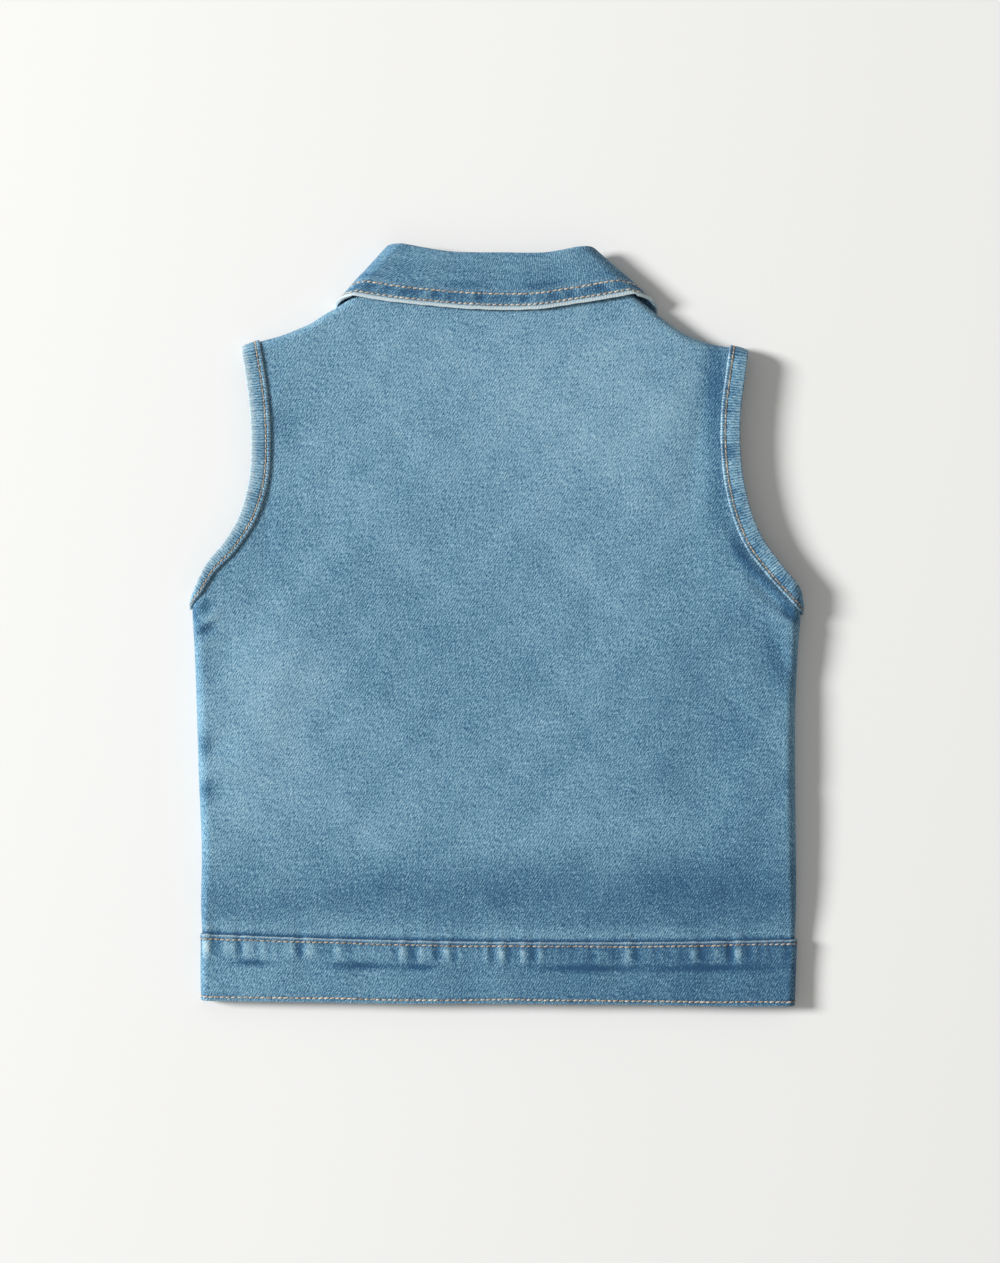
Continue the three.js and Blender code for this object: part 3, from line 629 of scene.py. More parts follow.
def makeBackPanel():
    settings = backSettings
    piece, u, v = gridPiece("backPanel", settings["columns"], settings["rows"])
    u = np.interp(u, *settings["across"])
    v = np.interp(v, *settings["up"])
    foot = vest["foot"]
    leftY = foot + (flatTip["left"][1] - foot) * v
    rightY = foot + (flatTip["right"][1] - foot) * v
    leftX = outerEdge("left", leftY - panelDrop(-sideX, leftY), False)
    rightX = outerEdge("right", rightY - panelDrop(sideX, rightY), False)
    x = -leftX * (1 - u) + rightX * u
    y = foot + (backTop(-tipX["left"] * (1 - u) + tipX["right"] * u) - foot) * v
    y = y - panelDrop(x, y)
    points, _ = lift({"face": 1, "relief": backRelief}, x, y, np.zeros_like(x))
    wash = backFadeAndShade(x, y) + settings["reliefTone"] * np.clip(backRelief(x, y), -1, 1)
    above = y - seamLine + sagAt(x)
    worn = hump(above, 3.5, 3) * 0.16 * (0.8 + puckers(x))
    # Painted shadow along the waist seam, wider where the puckers rise, and a faint painted highlight on the
    # ridge above it
    marks = 1 + settings["seamShadowSpread"] * np.clip(puckers(x * settings["seamShadowStretch"]), 0, 1)
    wash = wash - settings["seamShadow"] * hump(above, 0, settings["seamShadowReach"] * marks)
    wash = wash + humps(above, [(0.05, 4, 3.5)])
    shapePiece(piece, points, (x, y), (np.clip(worn, 0, 1), wash))
    pointOut(piece, (0, 0, 0.012), (0, 0, 1))
    finishPanel(piece, "back_panel")


def makeFrontPanel(side):
    settings = frontSettings
    sign = signs[side]
    piece, u, v = gridPiece("front" + side.title(), settings["columns"], settings["rows"])
    u = np.interp(u, *settings["across"])
    v = np.interp(v, *settings["up"])
    foot, tip = vest["foot"], flatTip[side]
    rowY = foot + (tip[1] - foot) * v
    edgeX = outerEdge(side, rowY - panelDrop(sign * sideX, rowY), True)
    neckY = float(flatShoulder(side, neckPoint[side]))
    centreX = readTable(frontNeck, column(side), foot + (neckY - foot) * v)
    x = sign * (edgeX * (1 - u) + centreX * u)
    topX = tip[0] * (1 - u) + neckPoint[side] * u
    y = foot + (flatShoulder(side, topX) - foot) * v
    y = y - panelDrop(x, y)
    points, _ = lift({"face": -1, "side": side}, x, y, np.zeros_like(x))
    wash = middleWash + settings["washShare"] * (backFadeAndShade(-x, y) - middleWash)
    shapePiece(piece, points, (x, y), (np.zeros_like(x), wash))
    pointOut(piece, (sign * 0.09, -0.05, 0), (0, 0, -1))
    finishPanel(piece, "front_" + side)


# A closed outline through corners. Each row: two places, how round the corner is, points up to the next.
def roundedSection(rows):
    corners = [np.array(row[:2], float) for row in rows]
    count = len(rows)
    outline = []
    for i in range(count):
        before, here, after = corners[i - 1], corners[i], corners[(i + 1) % count]
        softness, steps = rows[i][2:]
        towards = (after - here) / np.linalg.norm(after - here)
        start = here + (before - here) / np.linalg.norm(before - here) * softness
        end = here + towards * softness
        for t in np.linspace(0, 1, 5) if softness > 0 else [0.0]:
            outline.append((1 - t) ** 2 * start + 2 * t * (1 - t) * here + t * t * end)
        nextStart = after - towards * rows[(i + 1) % count][2]
        for t in np.linspace(0, 1, steps + 2)[1:-1]:
            outline.append(end * (1 - t) + nextStart * t)
    outline.append(outline[0])
    return np.array(outline)


# Rolls a grid into a closed band. The section runs round it and the stations along it.
def sectionPiece(name, section, stations, shape):
    piece, u, v = gridPiece(name, len(section) - 1, len(stations) - 1)
    around = np.rint(u * (len(section) - 1)).astype(int)
    along = np.rint(v * (len(stations) - 1)).astype(int)
    points, weave, tone = shape(section[around], stations[along], along)
    shapePiece(piece, points, weave, tone)
    closeTube(piece)
    softShade(piece, 60)
    return piece


# Waistband. The tables of humps run down from its top edge: height, depth, reach.
waistSettings = {
    "stitchTop": 2.4, "stitchHem": 37.1, "puckerReach": 7.5, "puckerRise": 0.42, "puckerDepth": 5.0,
    "topRise": 0.1,
    "gatherDepth": 7.0, "gatherReach": 5.0, "gatherWear": 0.36, "gatherTone": 0.80, "rightTone": -0.16,
    "fade": 0.22, "fadeAcross": -0.0014, "streakDepth": 15.8, "streakReach": 2.2, "streakDark": 0.95,
    "flatBack": 0.356, "flatFront": 0.190, "flatDepth": 0.042, "backRings": 420, "frontRings": 200,
}
waistRelief = [(-0.22, 2.4, 0.7), (-0.25, 36.7, 0.8), (0.24, 0.6, 1.0)]
waistWear = [(0.43, 0.4, 0.95), (0.34, 39.6, 1.0)]
waistTone = [(-0.45, 1.7, 0.5), (-0.50, 3.2, 0.55), (-0.22, 36.6, 0.9)]
waistStreaks = [(-78, 17), (-44, 8), (50, 26), (124, 32), (-140, 10)]   # x, half length
hemWaves = [(210, 0.27, 0.4), (90, 0.135, 2.0)]


def bandGather(x, depth):
    settings = waistSettings
    return settings["puckerRise"] * puckers(x) * hump(depth, settings["puckerDepth"], settings["puckerReach"])


def hemWave(x, depth):
    return waves(x, hemWaves) * smooth(depth, bandDepth / 2, bandDepth)


def bandPanel(face, side):
    return {"face": face, "side": side} if side else {"face": face}


# Wear and wash: pale on its folds, dark in its puckers and in streaks below them
def bandLevel(x, depth):
    settings = waistSettings
    gather = puckers(x)
    reach = hump(depth, settings["gatherDepth"], settings["gatherReach"])
    worn = humps(depth, waistWear) + settings["gatherWear"] * reach * np.clip(gather, 0, 1)
    worn += humps(depth, [(0.24, 12.2, 1.1)]) * (0.5 + 0.5 * waves(x, [(53, 0.6, 0.4), (21, 0.4, 2)]))
    wash = settings["fade"] + settings["fadeAcross"] * x + humps(depth, waistTone)
    wash += reach * (settings["gatherTone"] * gather + settings["rightTone"] * smooth(x, 0, 40))
    streak = settings["streakDark"] * hump(depth, settings["streakDepth"], settings["streakReach"])
    for middle, half in waistStreaks:
        wash -= streak * hump(x, middle, half)
    wash += 0.05 * waves(x, [(70, 1, 1.0), (33, 0.7, 2.0)])
    return np.clip(worn, 0, 1), wash


def makeWaistband(face, side, name, node, count):
    settings = waistSettings
    wall, gap, under = cloth["wall"], cloth["gap"], vest["lap"] + cloth["gap"]
    section = roundedSection([
        (0, gap, 0, 0), (0, proud + settings["topRise"], 0.45, 34), (bandDepth, proud, 1.1, 0),
        (bandDepth, -wall, 1.1, 12), (under, -wall, 0, 0), (under, gap, 0, 4),
    ])
    panel = bandPanel(face, side)

    def shape(points, stations, _):
        depth, amount = points[:, 0], points[:, 1]
        y = seamLine - depth
        if side:
            start = signs[side] * flatSide(side, y - bandDrop(signs[side] * sideX, y))
            end = np.full_like(start, -signs[side] * placketSettings["half"])
        else:
            start = -flatSide("left", y - bandDrop(-sideX, y))
            end = flatSide("right", y - bandDrop(sideX, y))
        x = start * (1 - stations) + end * stations
        outer = amount > gap + 0.02
        change = bandGather(x, depth) + humps(depth, waistRelief)
        change += 0.16 * waves(x, [(46, 1, 0.7), (29, 0.8, 2.2)]) * hump(depth, bandDepth / 2, 12)
        down = y - bandDrop(x, y)
        wander = np.where(depth < 1, 0.25 * puckers(x), 0) + hemWave(x, depth)
        placed, _ = lift(panel, x, down + wander, amount + np.where(outer, change, 0))
        worn, wash = bandLevel(x, depth)
        return placed, (x, down), (np.where(outer, worn, 0), wash)

    piece = sectionPiece(name, section, np.linspace(0, 1, count), shape)
    finishPiece(piece, waistDenim, "denim_waistband", node)
    print(name, len(piece.data.polygons), "faces")


# Armhole bindings. The tables of humps run inward from the armhole's edge: height, reach inward, reach.
bindingSettings = {"width": 10, "stitch": 7.2, "turnArmpit": 22, "turnTip": 20, "turnPower": 0.6,
                   # rim: pale wear at the armhole's edge, twice as strong on the left as a painted highlight
                   # where the light falls
                   "stations": 170, "rim": {"left": 0.52, "right": 0.26}, "fade": 0.62,
                   "ribWear": 0.16, "flatWidth": 0.026}
bindingRelief = [(0.22, 3.2, 3.2), (-0.26, 7.2, 0.75), (0.20, 8.9, 0.8), (-0.35, 10.0, 0.5)]
bindingWear = [(0.38, 9.5, 0.6), (0.24, 8.0, 0.45)]
bindingTone = [(-0.36, 6.6, 0.6), (-0.35, 8.7, 0.35)]
bindingGathers = [(6.3, 0.096, 0.2), (9.7, 0.096, 1.4)]
bindingRibs = [(3.1, 0.5, 0.2), (4.7, 0.5, 1.4), (2.2, 0.3, 0.9)]
bindingBlotches = [(19, 0.6, 0.5), (11, 0.5, 2.0), (31, 0.4, 1.0)]
# How wide the binding shows along its length from the armpit: length, left, right
bindingWidths = [(0, 0.30, 0.62), (10, 0.44, 0.86), (33, 0.70, 0.97), (52, 0.82, 1.0), (75, 0.97, 1.0),
                 (100, 1.0, 1.0), (150, 1.0, 1.0), (175, 0.90, 0.94), (200, 0.86, 0.90)]


# The armhole edge on the flat cloth and the way into the panel from each of its points
def bindingEdge(side, front, count):
    settings = bindingSettings
    sign, tip, low, wide = signs[side], flatTip[side], vest["armpit"], bindingSettings["width"]
    t = np.linspace(0, 1, count)
    y = low + (tip[1] - low) * (0.55 * t + 0.45 * t ** 2)
    points = np.stack([sign * outerEdge(side, y, front), y], axis=-1)
    along = np.gradient(points, axis=0)
    along /= np.linalg.norm(along, axis=1, keepdims=True)
    inward = np.stack([-sign * along[:, 1], sign * along[:, 0]], axis=-1)
    down = np.array([sign * float(flatSide(side, low - wide)), low - wide]) - points[0]
    over = np.array([sign * (tip[0] - wide), float(flatShoulder(side, tip[0] - wide))]) - points[-1]
    fromArmpit = np.clip((y - low) / settings["turnArmpit"], 0, 1)[:, None] ** settings["turnPower"]
    fromTip = np.clip((tip[1] - y) / settings["turnTip"], 0, 1)[:, None] ** settings["turnPower"]
    inward = inward * fromArmpit + down / np.linalg.norm(down) * (1 - fromArmpit)
    inward = inward * fromTip + over / np.linalg.norm(over) * (1 - fromTip)
    inward /= np.linalg.norm(inward, axis=1, keepdims=True)
    length = np.concatenate([[0], np.cumsum(np.linalg.norm(np.diff(points, axis=0), axis=1))])
    return points, inward, length


def onBinding(side, face, edge, inward, reach, amount):
    x = np.abs(edge[..., 0] + inward[..., 0] * reach)
    y = edge[..., 1] + inward[..., 1] * reach
    x = np.minimum(x, flatSide(side, y))
    y = np.minimum(y, flatShoulder(side, x))
    panel = {"face": face, "side": side}
    if face > 0:
        panel["relief"] = backRelief
    return lift(panel, signs[side] * x, y, amount)


def makeBinding(side, face):
    settings = bindingSettings
    front = face < 0
    name = "binding" + ("Front" if front else "Back") + side.title()
    wide, wall, gap = settings["width"], cloth["wall"], cloth["gap"]
    edge, inward, length = bindingEdge(side, front, settings["stations"])
    section = roundedSection([
        (wide, gap, 0, 0), (wide, proud, 0.4, 22), (-proud, proud, 0.9, 3), (-proud, -wall - proud, 0.9, 8),
        (wide, -wall - proud, 0.3, 0), (wide, -wall - gap, 0, 6), (-gap, -wall - gap, 0, 0), (-gap, gap, 0, 6),
    ])

    def shape(points, _, index):
        reach, amount = points[:, 0], points[:, 1]
        s = length[index]
        outer = amount > gap + 0.02
        change = humps(reach, bindingRelief) + waves(s, bindingGathers) * hump(reach, 6.0, 4)
        narrow = readTable(bindingWidths, column(side), s)
        placed, _ = onBinding(side, face, edge[index], inward[index], reach * narrow,
                              amount + np.where(outer, change, 0))
        ribs = waves(s, bindingRibs)
        # Pale rim at the armhole's edge: wear, painted stronger on the left binding as a highlight
        worn = humps(reach, [*bindingWear, (settings["rim"][side], -1.0, 3.6)])
        worn += settings["ribWear"] * np.clip(ribs, 0, 1)
        wash = settings["fade"] + 0.10 * waves(s, [(27, 1, 0.5), (13, 0.6, 1.0)]) + humps(reach, bindingTone)
        wash -= settings["ribWear"] * np.clip(-ribs, 0, 1)
        if side == "right":
            blotches = np.clip(waves(s, bindingBlotches), -0.4, 1)
            wash -= 0.12 + 0.20 * (1 - smooth(s / length[-1], 0.0, 0.3))
            wash -= 0.34 * blotches * smooth(reach, 1.0, 5.0)
        return placed, (s, reach), (np.where(outer, np.clip(worn, 0, 1), 0), wash)

    piece = sectionPiece(name, section, length, shape)
    finishPiece(piece, bindingDenim, "denim_binding", f"armhole_band_{'front' if front else 'back'}_{side}")
    round(length[-1] * mm, 3)
    print(name, len(piece.data.polygons), "faces,", round(length[-1]), "mm")


# Collar: a stand that rises from the neck seam and a fall turned back over it, folded round both sides
collarSettings = {
    "ply": 1.8, "slot": 1.0, "radius": 7.2, "stand": 27, "slide": 7, "rings": 260, "foldRows": 9,
    "upperStitch": 9.0, "lowerStitch": 2.9, "leastSquare": 0.62, "squareRows": 14, "flat": (0.345, 0.078),
    "gatherMiddle": 6.2, "gatherReach": 2.6, "gatherRise": 0.20, "gatherTone": 0.34, "groove": 0.26,
    "grooveReach": 0.75, "sway": 0.12, "fade": 0.27, "patch": 0.10,
}
collarFolds = {
    "left": {"roll": (-62.8, 217), "free": (-92.3, 184.4), "short": 3.5, "stand": 20.5},
    "right": {"roll": (54.5, 216.3), "free": (90.5, 184.5), "short": 7.0, "stand": 21.8},
}
# roll x, roll y, free x, free y
collarBack = [(-30, 213.4, -44, 182.5), (-13, 212.5, -18, 180.2), (3, 212.5, 7, 179.5), (14, 212.3, 27, 180.4),
              (29, 212.7, 49, 183.8)]
# roll x, roll y, free x, free y, stand
collarFront = [(50, 188, 88, 160, 24), (37, 168, 80, 141, 21), (20, 152, 70, 125, 18), (2.5, 139, 58, 108, 15)]
collarGathers = [(8.3, 0.6, 0.3), (12.7, 0.5, 1.2), (21, 0.4, 3.0)]
collarSway = [(33, 1, 1.0)]
collarHalf = collarSettings["ply"] + collarSettings["slot"] / 2
# Columns of a collar row: place of the roll, way to the free edge, way out of the face, fall, stand
rollPart, alongPart, outPart, fallColumn, standColumn = slice(0, 3), slice(3, 6), slice(6, 9), 9, 10


def collarStations():
    radius = collarSettings["radius"]

    def flat(rollX, rollY, freeX, freeY, z, face, stand):
        reach = math.hypot(freeX - rollX, freeY - rollY)
        return [rollX, rollY, z, (freeX - rollX) / reach, (freeY - rollY) / reach, 0, 0, 0, face, reach, stand]

    def front(side):
        return [flat(signs[side] * a, b, signs[side] * c, d, 0, -1, e) for a, b, c, d, e in collarFront]

    def fold(side):
        settings = collarFolds[side]
        roll, free = np.array(settings["roll"], float), np.array(settings["free"], float)
        fall = np.linalg.norm(free - roll)
        along = (free - roll) / fall
        inward = signs[side] * np.array([along[1], -along[0]])
        rows = []
        for angle in np.linspace(90, -90, collarSettings["foldRows"]):
            turn = math.radians(angle)
            out = np.array([*(-inward * math.cos(turn)), math.sin(turn)])
            origin = roll + inward * radius - along * collarSettings["slide"] * angle / 90
            origin = np.array([*origin, radius]) + out * radius
            shortened = fall - settings["short"] * max(0, angle / 90)
            rows.append([*origin, *along, 0, *out, shortened, settings["stand"]])
        return rows

    back = [flat(a, b, c, d, 2 * radius, 1, collarSettings["stand"]) for a, b, c, d in collarBack]
    return np.array([*front("left")[::-1], *fold("left")[::-1], *back, *fold("right"), *front("right")], float)


# More rows along a smooth curve through the given ones, evenly spaced halfway down the fall
def smoothRows(rows, count):
    fine = []
    last = len(rows) - 1
    for t in np.linspace(0, last, 12 * last + 1):
        i = min(int(t), last - 1)
        f = t - i
        a, b, c, d = (rows[min(max(i + k, 0), last)] for k in (-1, 0, 1, 2))
        fine.append(0.5 * (2 * b + (c - a) * f + (2 * a - 5 * b + 4 * c - d) * f ** 2
                           + (3 * b - 3 * c + d - a) * f ** 3))
    fine = np.array(fine)
    middle = fine[:, rollPart] + fine[:, alongPart] * 25
    length = np.concatenate([[0], np.cumsum(np.linalg.norm(np.diff(middle, axis=0), axis=1))])
    even = np.linspace(0, length[-1], count)
    rows = np.stack([np.interp(even, length, fine[:, k]) for k in range(fine.shape[1])], axis=-1)
    for part in (alongPart, outPart):
        rows[:, part] /= np.linalg.norm(rows[:, part], axis=1, keepdims=True)
    return rows, even


# How squarely each row meets the free edge: 1 at a right angle
def edgeSquare(rows):
    edge = rows[:, rollPart] + rows[:, alongPart] * rows[:, fallColumn, None]
    way = np.gradient(edge, axis=0)
    way /= np.linalg.norm(way, axis=1, keepdims=True)
    square = np.linalg.norm(np.cross(rows[:, alongPart], way), axis=1)
    square = np.clip(square, collarSettings["leastSquare"], 1)
    spread = collarSettings["squareRows"]
    count = 2 * spread + 1
    return np.convolve(np.pad(square, spread, mode="edge"), np.ones(count) / count, mode="valid")


collarRows, collarLength = smoothRows(collarStations(), collarSettings["rings"])
collarSquare = edgeSquare(collarRows)


def collarPoint(rows, reach, amount):
    along = rows[..., alongPart] * reach[..., None]
    return rows[..., rollPart] + along + rows[..., outPart] * amount[..., None]


# Round the collar: share of the fall or stand, and height, from the free edge over the roll and back
def collarSection():
    ply, inner, half = collarSettings["ply"], collarSettings["slot"] / 2, collarHalf
    turns = np.linspace(0, math.pi, 12)
    innerTurns = np.linspace(0, math.pi, 6)[1:-1]
    outline = [("fall", s, 0.0) for s in np.linspace(1, 0, 40)[:-1]]
    outline += [("roll", half - half * math.sin(a), half * math.cos(a) - half) for a in turns]
    outline += [("stand", s, -2 * half) for s in np.linspace(0, 1, 10)[1:]]
    outline += [("stand", s, -2 * half + ply) for s in np.linspace(1, 0, 10)]
    outline += [("roll", half - inner * math.sin(a), -half - inner * math.cos(a)) for a in innerTurns]
    outline += [("fall", s, -ply) for s in np.linspace(0, 1, 12)]
    return outline + [outline[0]]


def makeCollar():
    settings = collarSettings
    outline = collarSection()
    piece, u, v = gridPiece("collarPiece", len(outline) - 1, len(collarRows) - 1)
    around = np.rint(u * (len(outline) - 1)).astype(int)
    along = np.rint(v * (len(collarRows) - 1)).astype(int)
    kind = np.array([row[0] for row in outline])[around]
    share, amount = np.array([row[1:] for row in outline])[around].T
    rows, s, square = collarRows[along], collarLength[along], collarSquare[along]
    fall, stand, roll = kind == "fall", kind == "stand", kind == "roll"
    reach = np.where(roll, share, 0.0)
    for part, pick in ((fall, fallColumn), (stand, standColumn)):
        reach = np.where(part, collarHalf + (rows[:, pick] - collarHalf) * share, reach)
    fromEdge = (rows[:, fallColumn] - reach) * square
    fromEnd = np.minimum(s, collarLength[-1] - s)
    outer = fall & (amount > -0.5)
    gather = waves(s, collarGathers)
    between = hump(fromEdge, settings["gatherMiddle"], settings["gatherReach"])
    change = settings["gatherRise"] * between * gather + humps(fromEdge, [(0.22, 1.2, 1.3), (0.25, 13, 5)])
    for inset in (settings["upperStitch"], settings["lowerStitch"]):
        corner = np.minimum(np.abs(fromEdge - inset), np.abs(fromEnd - inset))
        inside = np.minimum(fromEdge, fromEnd) > inset - 1
        change = change - np.where(inside, settings["groove"] * hump(corner, 0, settings["grooveReach"]), 0)
    change = np.where(outer, change, 0)
    change = change + np.where(outer | roll, settings["sway"] * waves(s, collarSway), 0)
    change = change - np.where(fall & (share > 0.97), np.sign(amount + 0.9) * 0.25, 0)
    edgeWave = np.where(fall, 0.10 * gather * share ** 6, 0)
    placed = collarPoint(rows, reach + edgeWave, amount + change)
    worn = 0.80 * np.exp(-(fromEdge / 2.2) ** 4) + 0.7 * np.exp(-(fromEnd / 1.6) ** 4)
    worn = worn + humps(fromEdge, [(0.30, 10.6, 0.8)]) + 0.20 * between * np.clip(gather, 0, 1)
    worn = np.where(outer, worn, np.where(roll, 0.05, 0.55 * hump(fromEdge, 0, 0.9)))
    patches = waves(s + 1.3 * reach, [(64, 0.7, 0.4), (37, 0.5, 1.9)])
    patches = patches * waves(reach - 0.2 * s, [(29, 0.8, 1.0), (17, 0.5, 2.2)])
    wash = settings["fade"] + settings["patch"] * patches + settings["gatherTone"] * between * gather
    wash = wash + humps(fromEdge, [(-0.34, 6.2, 2.2), (0.10, 27, 5)])
    wash = wash + humps(fromEdge, [(-0.34, 13.4, 1.8)]) * (0.6 + 0.4 * waves(s, [(51, 1, 0.9)]))
    shapePiece(piece, placed, (s, -reach), (np.clip(worn, 0, 1), wash))
    closeTube(piece)
    softShade(piece, 60)
    finishPiece(piece, collarDenim, "denim_collar", "collar")
    print("collar", len(piece.data.polygons), "faces")


# Placket strips
placketSettings = {"half": 12.5, "wall": 1.6, "columns": 16, "rows": 180, "lowest": 2.05, "stitch": 9.6,
                   "flat": (0.025, 0.304)}


def makePlacket(side):
    settings = placketSettings
    piece, u, v = gridPiece("placket" + side.title(), settings["columns"], settings["rows"])
    foot = seamLine + cloth["gap"]
    x = settings["half"] * (2 * u - 1)
    y = foot + (vest["placketTop"] - foot) * v
    y = y - panelDrop(x, y)
    ridge = humps(np.abs(x), [(0.25, 11.8, 0.8), (-0.25, 9.8, 0.8)])
    points, _ = lift({"face": -1, "side": side}, x, y, ridge)
    points[:, 2] = np.maximum(points[:, 2], settings["lowest"])
    worn = humps(np.abs(x), [(0.5, 12.2, 0.9)])
    shapePiece(piece, points, (x, y), (worn, middleWash + 0.05 * waves(y, [(40, 1, 0.2)])))
    pointOut(piece, (0, -0.05, 0.002), (0, 0, -1))
    thicken(piece, settings["wall"])
    softShade(piece)
    finishPiece(piece, bodyDenim, "denim_body", "placket_" + side)
    print("placket", side, len(piece.data.polygons), "faces")


# Buttons: a domed cap with a rolled rim and a hollow middle. Each ring: inset, drop.
buttonSettings = {"radius": 7, "height": 2.0, "count": 6, "sides": 48, "bevel": 0.35,
                  "rings": [(0.9, 0), (0.8, 0.45), (1.6, 0.1), (1.6, -0.15)]}


def makeButton(number):
    settings = buttonSettings
    low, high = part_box(f"button_{number}")
    clearSelection()
    bpy.ops.mesh.primitive_cylinder_add(vertices=settings["sides"], radius=settings["radius"] * mm,
                                        depth=settings["height"] * mm, location=(low + high) / 2)
    piece = bpy.context.object
    piece.name = f"buttonCap{number}"
    bpy.ops.object.mode_set(mode="EDIT")
    bpy.ops.mesh.select_all(action="DESELECT")
    bpy.ops.object.mode_set(mode="OBJECT")
    for face in piece.data.polygons:
        face.select = face.normal.z < -0.9
    bpy.ops.object.mode_set(mode="EDIT")
    bpy.ops.mesh.select_mode(type="FACE")
    for inset, drop in settings["rings"]:
        bpy.ops.mesh.inset(thickness=inset * mm)
        bpy.ops.transform.translate(value=(0, 0, drop * mm))
    bpy.ops.mesh.select_mode(type="VERT")
    bpy.ops.object.mode_set(mode="OBJECT")
    bpy.ops.object.transform_apply(location=True, rotation=True, scale=True)
    applyModifier(piece, "BEVEL", width=settings["bevel"] * mm, segments=3, limit_method="ANGLE")
    softShade(piece, 40)
    finishPiece(piece, buttonMetal, "button_metal", f"button_{number}")


# Stitches: one is modelled, and a row of copies follows a line
stitchSettings = {"pitch": 3.3, "long": 3.3, "wide": 0.50, "high": 0.42, "rise": 0.22, "lean": 9.0,
                  "leanSpread": 2.0, "blunt": 0.8, "sunkEnds": 0.35, "placeSpread": 0.08,
                  "sizeSpread": 0.05, "look": 0.6}


# One stitch along X, its ends sunk into the cloth, as points and faces
def modelStitch():
    settings = stitchSettings
    clearSelection()
    bpy.ops.mesh.primitive_uv_sphere_add(segments=8, ring_count=6, radius=1, rotation=(0, quarter, 0))
    sample = bpy.context.object
    bpy.ops.object.transform_apply(location=True, rotation=True, scale=True)
    points = np.array([tuple(v.co) for v in sample.data.vertices])
    faces = [tuple(face.vertices) for face in sample.data.polygons]
    bpy.data.objects.remove(sample)
    share = np.abs(points[:, 0]) ** settings["blunt"]
    points[:, 0] = np.sign(points[:, 0]) * share * settings["long"] / 2
    points[:, 1] *= settings["wide"]
    points[:, 2] = points[:, 2] * settings["high"] - settings["sunkEnds"] * share ** 3
    return points, faces


stitchPoints, stitchFaces = modelStitch()


# Lays stitches along a line of places on the cloth, with the cloth's own direction at each
def sewLine(name, places, normals, material, slotName, size=1.0):
    settings = stitchSettings
    lengths = np.linalg.norm(np.diff(places, axis=0), axis=1)
    along = np.concatenate([[0], np.cumsum(lengths)])
    count = int(along[-1] / (settings["pitch"] * size))
    random = np.random.default_rng(len(places) + count)
    centres = (np.arange(count) + 0.5) * along[-1] / count + random.normal(0, settings["placeSpread"], count)

    def at(values, distance):
        return np.stack([np.interp(distance, along, values[:, k]) for k in range(3)], axis=-1)

    middle, up = at(places, centres), at(normals, centres)
    ahead = at(places, centres + settings["look"]) - at(places, centres - settings["look"])
    ahead /= np.linalg.norm(ahead, axis=1, keepdims=True)
    up = up - ahead * np.sum(up * ahead, axis=1, keepdims=True)
    up /= np.linalg.norm(up, axis=1, keepdims=True)
    beside = np.cross(up, ahead)
    lean = np.radians(settings["lean"] + random.normal(0, settings["leanSpread"], count))[:, None]
    ahead, beside = ahead * np.cos(lean) + beside * np.sin(lean), beside * np.cos(lean) - ahead * np.sin(lean)
    local = stitchPoints[None] * random.normal(1, settings["sizeSpread"], count)[:, None, None]
    local = local * np.array([size, size ** 2, size ** 2])
    verts = middle[:, None] + local[..., :1] * ahead[:, None] + local[..., 1:2] * beside[:, None]
    verts = verts + (local[..., 2:] + settings["rise"] * size ** 2) * up[:, None]
    verts[..., 2] += np.maximum(0, -verts[..., 2].min(axis=1, keepdims=True))
    corner = len(stitchPoints)
    faces = [tuple(i + k * corner for i in face) for k in range(count) for face in stitchFaces]
    mesh = bpy.data.meshes.new(name)
    mesh.from_pydata((verts.reshape(-1, 3) * mm).tolist(), [], faces)
    mesh.update()
    piece = bpy.data.objects.new(name, mesh)
    bpy.context.collection.objects.link(piece)
    softShade(piece, 80)
    finishPiece(piece, material, slotName)


# Where the rows of stitches start and end, and how far they lie under the face of the cloth
rowSettings = {"waistBack": 172.5, "waistFront": 172, "waistCentre": 11.5, "waistSunk": 0.2,
               "bindingSunk": 0.12, "bindingSize": 0.86, "collarSunk": 0.24, "placketLow": 1.5,
               "placketHigh": 2, "placketRise": 0.02}


def waistStitches(face, side, depth, thread, name):
    settings = rowSettings
    if side:
        x = np.linspace(signs[side] * settings["waistFront"], -signs[side] * settings["waistCentre"], 400)
    else:
        x = np.linspace(-settings["waistBack"], settings["waistBack"], 700)
    y = seamLine - depth + 0.35 * waves(x, [(120, 0.5, 0.3), (47, 0.3, 1.0)])
    amount = proud + bandGather(x, depth) - settings["waistSunk"]
    places, normals = lift(bandPanel(face, side), x, y - bandDrop(x, y) + hemWave(x, depth), amount)
    sewLine(name, places, normals, thread, "denim_waistband")


def bindingStitches(side, face, name):
    edge, inward, length = bindingEdge(side, face < 0, 400)
    reach = bindingSettings["stitch"] * readTable(bindingWidths, column(side), length)
    amount = np.full(len(edge), proud - rowSettings["bindingSunk"])
    places, normals = onBinding(side, face, edge, inward, reach, amount)
    sewLine(name, places, normals, goldThread, "denim_binding", rowSettings["bindingSize"])


def collarStitches(line, name):
    settings = collarSettings
    inset = settings[line]
    kept = np.minimum(collarLength, collarLength[-1] - collarLength) >= inset
    rows, s, square = collarRows[kept], collarLength[kept], collarSquare[kept]
    rise = settings["gatherRise"] * hump(inset, settings["gatherMiddle"], settings["gatherReach"])
    change = rise * waves(s, collarGathers) + settings["sway"] * waves(s, collarSway)
    change = change - rowSettings["collarSunk"]
    places = collarPoint(rows, rows[:, fallColumn] - inset / square, change)
    sewLine(name, places, rows[:, outPart], paleThread, "denim_collar")


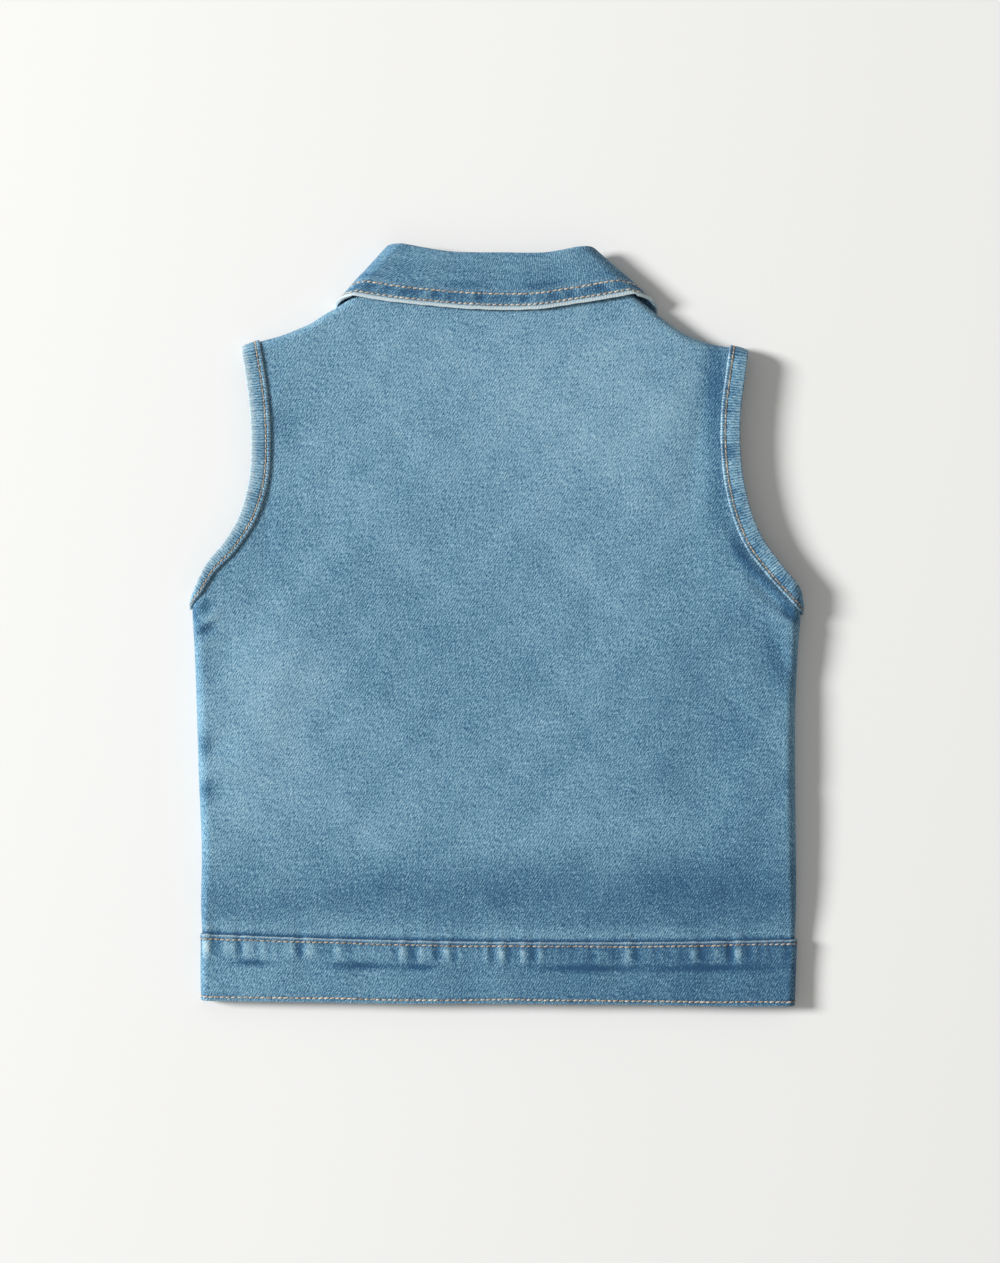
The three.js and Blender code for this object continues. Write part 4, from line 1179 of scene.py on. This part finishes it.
# The same row of stitches where it turns up the collar's front end
def collarEndStitches(line, side, name):
    inset = collarSettings[line]
    distance = inset if side == "left" else collarLength[-1] - inset
    row = np.array([np.interp(distance, collarLength, values) for values in collarRows.T])
    rows = np.repeat(row[None], 60, axis=0)
    reach = np.linspace(row[fallColumn] - inset - 1.5, 5, len(rows))
    places = collarPoint(rows, reach, np.full(len(rows), -rowSettings["collarSunk"]))
    sewLine(name, places, rows[:, outPart], paleThread, "denim_collar")


def placketStitches(side, edge, name):
    settings = rowSettings
    y = np.linspace(seamLine + settings["placketLow"], vest["placketTop"] - settings["placketHigh"], 400)
    x = np.full_like(y, edge)
    rise = np.full_like(y, settings["placketRise"])
    places, normals = lift({"face": -1, "side": side}, x, y - panelDrop(x, y), rise)
    sewLine(name, places, normals, paleThread, "denim_body")


# Setting: pale floor, one soft key light from the left and a dim sky. Lengths are metres.
setting = {
    "floorTone": 0.86, "floorCream": 0.992, "floorPatch": 0.985, "keyPower": 860.0, "keyDistance": 7.5,
    "keyElevation": 28.5, "keySize": 2.1, "keyAhead": 1.2, "keyColour": (1.0, 0.998, 0.992), "sky": 0.34,
    "skyColour": (1.0, 0.99, 0.955, 1), "camera": (0.001425, -0.00342, 1.61), "lens": 80.0, "sensor": 36.0,
}


def makeSetting():
    clearSelection()
    bpy.ops.mesh.primitive_plane_add(size=8, location=(0, 0, -0.0002))
    floor = bpy.context.object
    floor.name = "floor"
    material, tree, shader = startMaterial("floorPaper")
    tone = setting["floorTone"]
    patch = tone * setting["floorPatch"]
    colour = objectSpot(tree).noise(1.2).mixed((tone, tone, tone * setting["floorCream"], 1),
                                               (patch, patch, tone * 0.98, 1))
    tree.links.new(colour.link, shader.inputs["Base Color"])
    shader.inputs["Roughness"].default_value = 0.9
    floor.data.materials.append(material)
    world = bpy.data.worlds.new("studio")
    world.use_nodes = True
    world.node_tree.nodes["Background"].inputs[0].default_value = setting["skyColour"]
    world.node_tree.nodes["Background"].inputs[1].default_value = setting["sky"]
    bpy.context.scene.world = world
    turn, away = math.radians(setting["keyElevation"]), setting["keyDistance"]
    place = (-away * math.cos(turn), setting["keyAhead"], away * math.sin(turn))
    bpy.ops.object.light_add(type="AREA", location=place)
    key = bpy.context.object
    key.data.shape = "DISK"
    key.data.size = setting["keySize"]
    key.data.energy = setting["keyPower"]
    key.data.color = setting["keyColour"]
    key.rotation_euler = (-key.location).to_track_quat("-Z", "Y").to_euler()
    bpy.ops.object.camera_add(location=setting["camera"])
    camera = bpy.context.object
    camera.data.sensor_width = setting["sensor"]
    camera.data.lens = setting["lens"]
    camera.rotation_euler = (0, 0, 0)
    bpy.context.scene.camera = camera
    bpy.context.scene.view_settings.view_transform = "Standard"


makeSetting()
print("setting made")
for side in sides:
    makeFrontPanel(side)
makeBackPanel()
makeWaistband(1, None, "waistbandBack", "waistband_back", waistSettings["backRings"])
for side in sides:
    makeWaistband(-1, side, "waistbandFront" + side.title(), "waistband_front_" + side,
                  waistSettings["frontRings"])
    makeBinding(side, 1)
    makeBinding(side, -1)
    makePlacket(side)
makeCollar()
for number in range(1, buttonSettings["count"] + 1):
    makeButton(number)
print("cloth and buttons made")
# The top rows use the darker thread as painted shade
waistStitches(1, None, waistSettings["stitchTop"], shadedThread, "stitchWaistTop")
waistStitches(1, None, waistSettings["stitchHem"], paleThread, "stitchWaistHem")
for side in sides:
    waistStitches(-1, side, waistSettings["stitchTop"], shadedThread, "stitchFrontTop" + side.title())
    waistStitches(-1, side, waistSettings["stitchHem"], paleThread, "stitchFrontHem" + side.title())
    bindingStitches(side, 1, "stitchBindingBack" + side.title())
    bindingStitches(side, -1, "stitchBindingFront" + side.title())
collarStitches("upperStitch", "stitchCollarUpper")
collarStitches("lowerStitch", "stitchCollarLower")
for side in sides:
    collarEndStitches("upperStitch", side, "stitchCollarEndUpper" + side.title())
    collarEndStitches("lowerStitch", side, "stitchCollarEndLower" + side.title())
    placketStitches(side, -placketSettings["stitch"], "stitchPlacket" + side.title() + "Inner")
    placketStitches(side, placketSettings["stitch"], "stitchPlacket" + side.title() + "Outer")
print("stitches made")
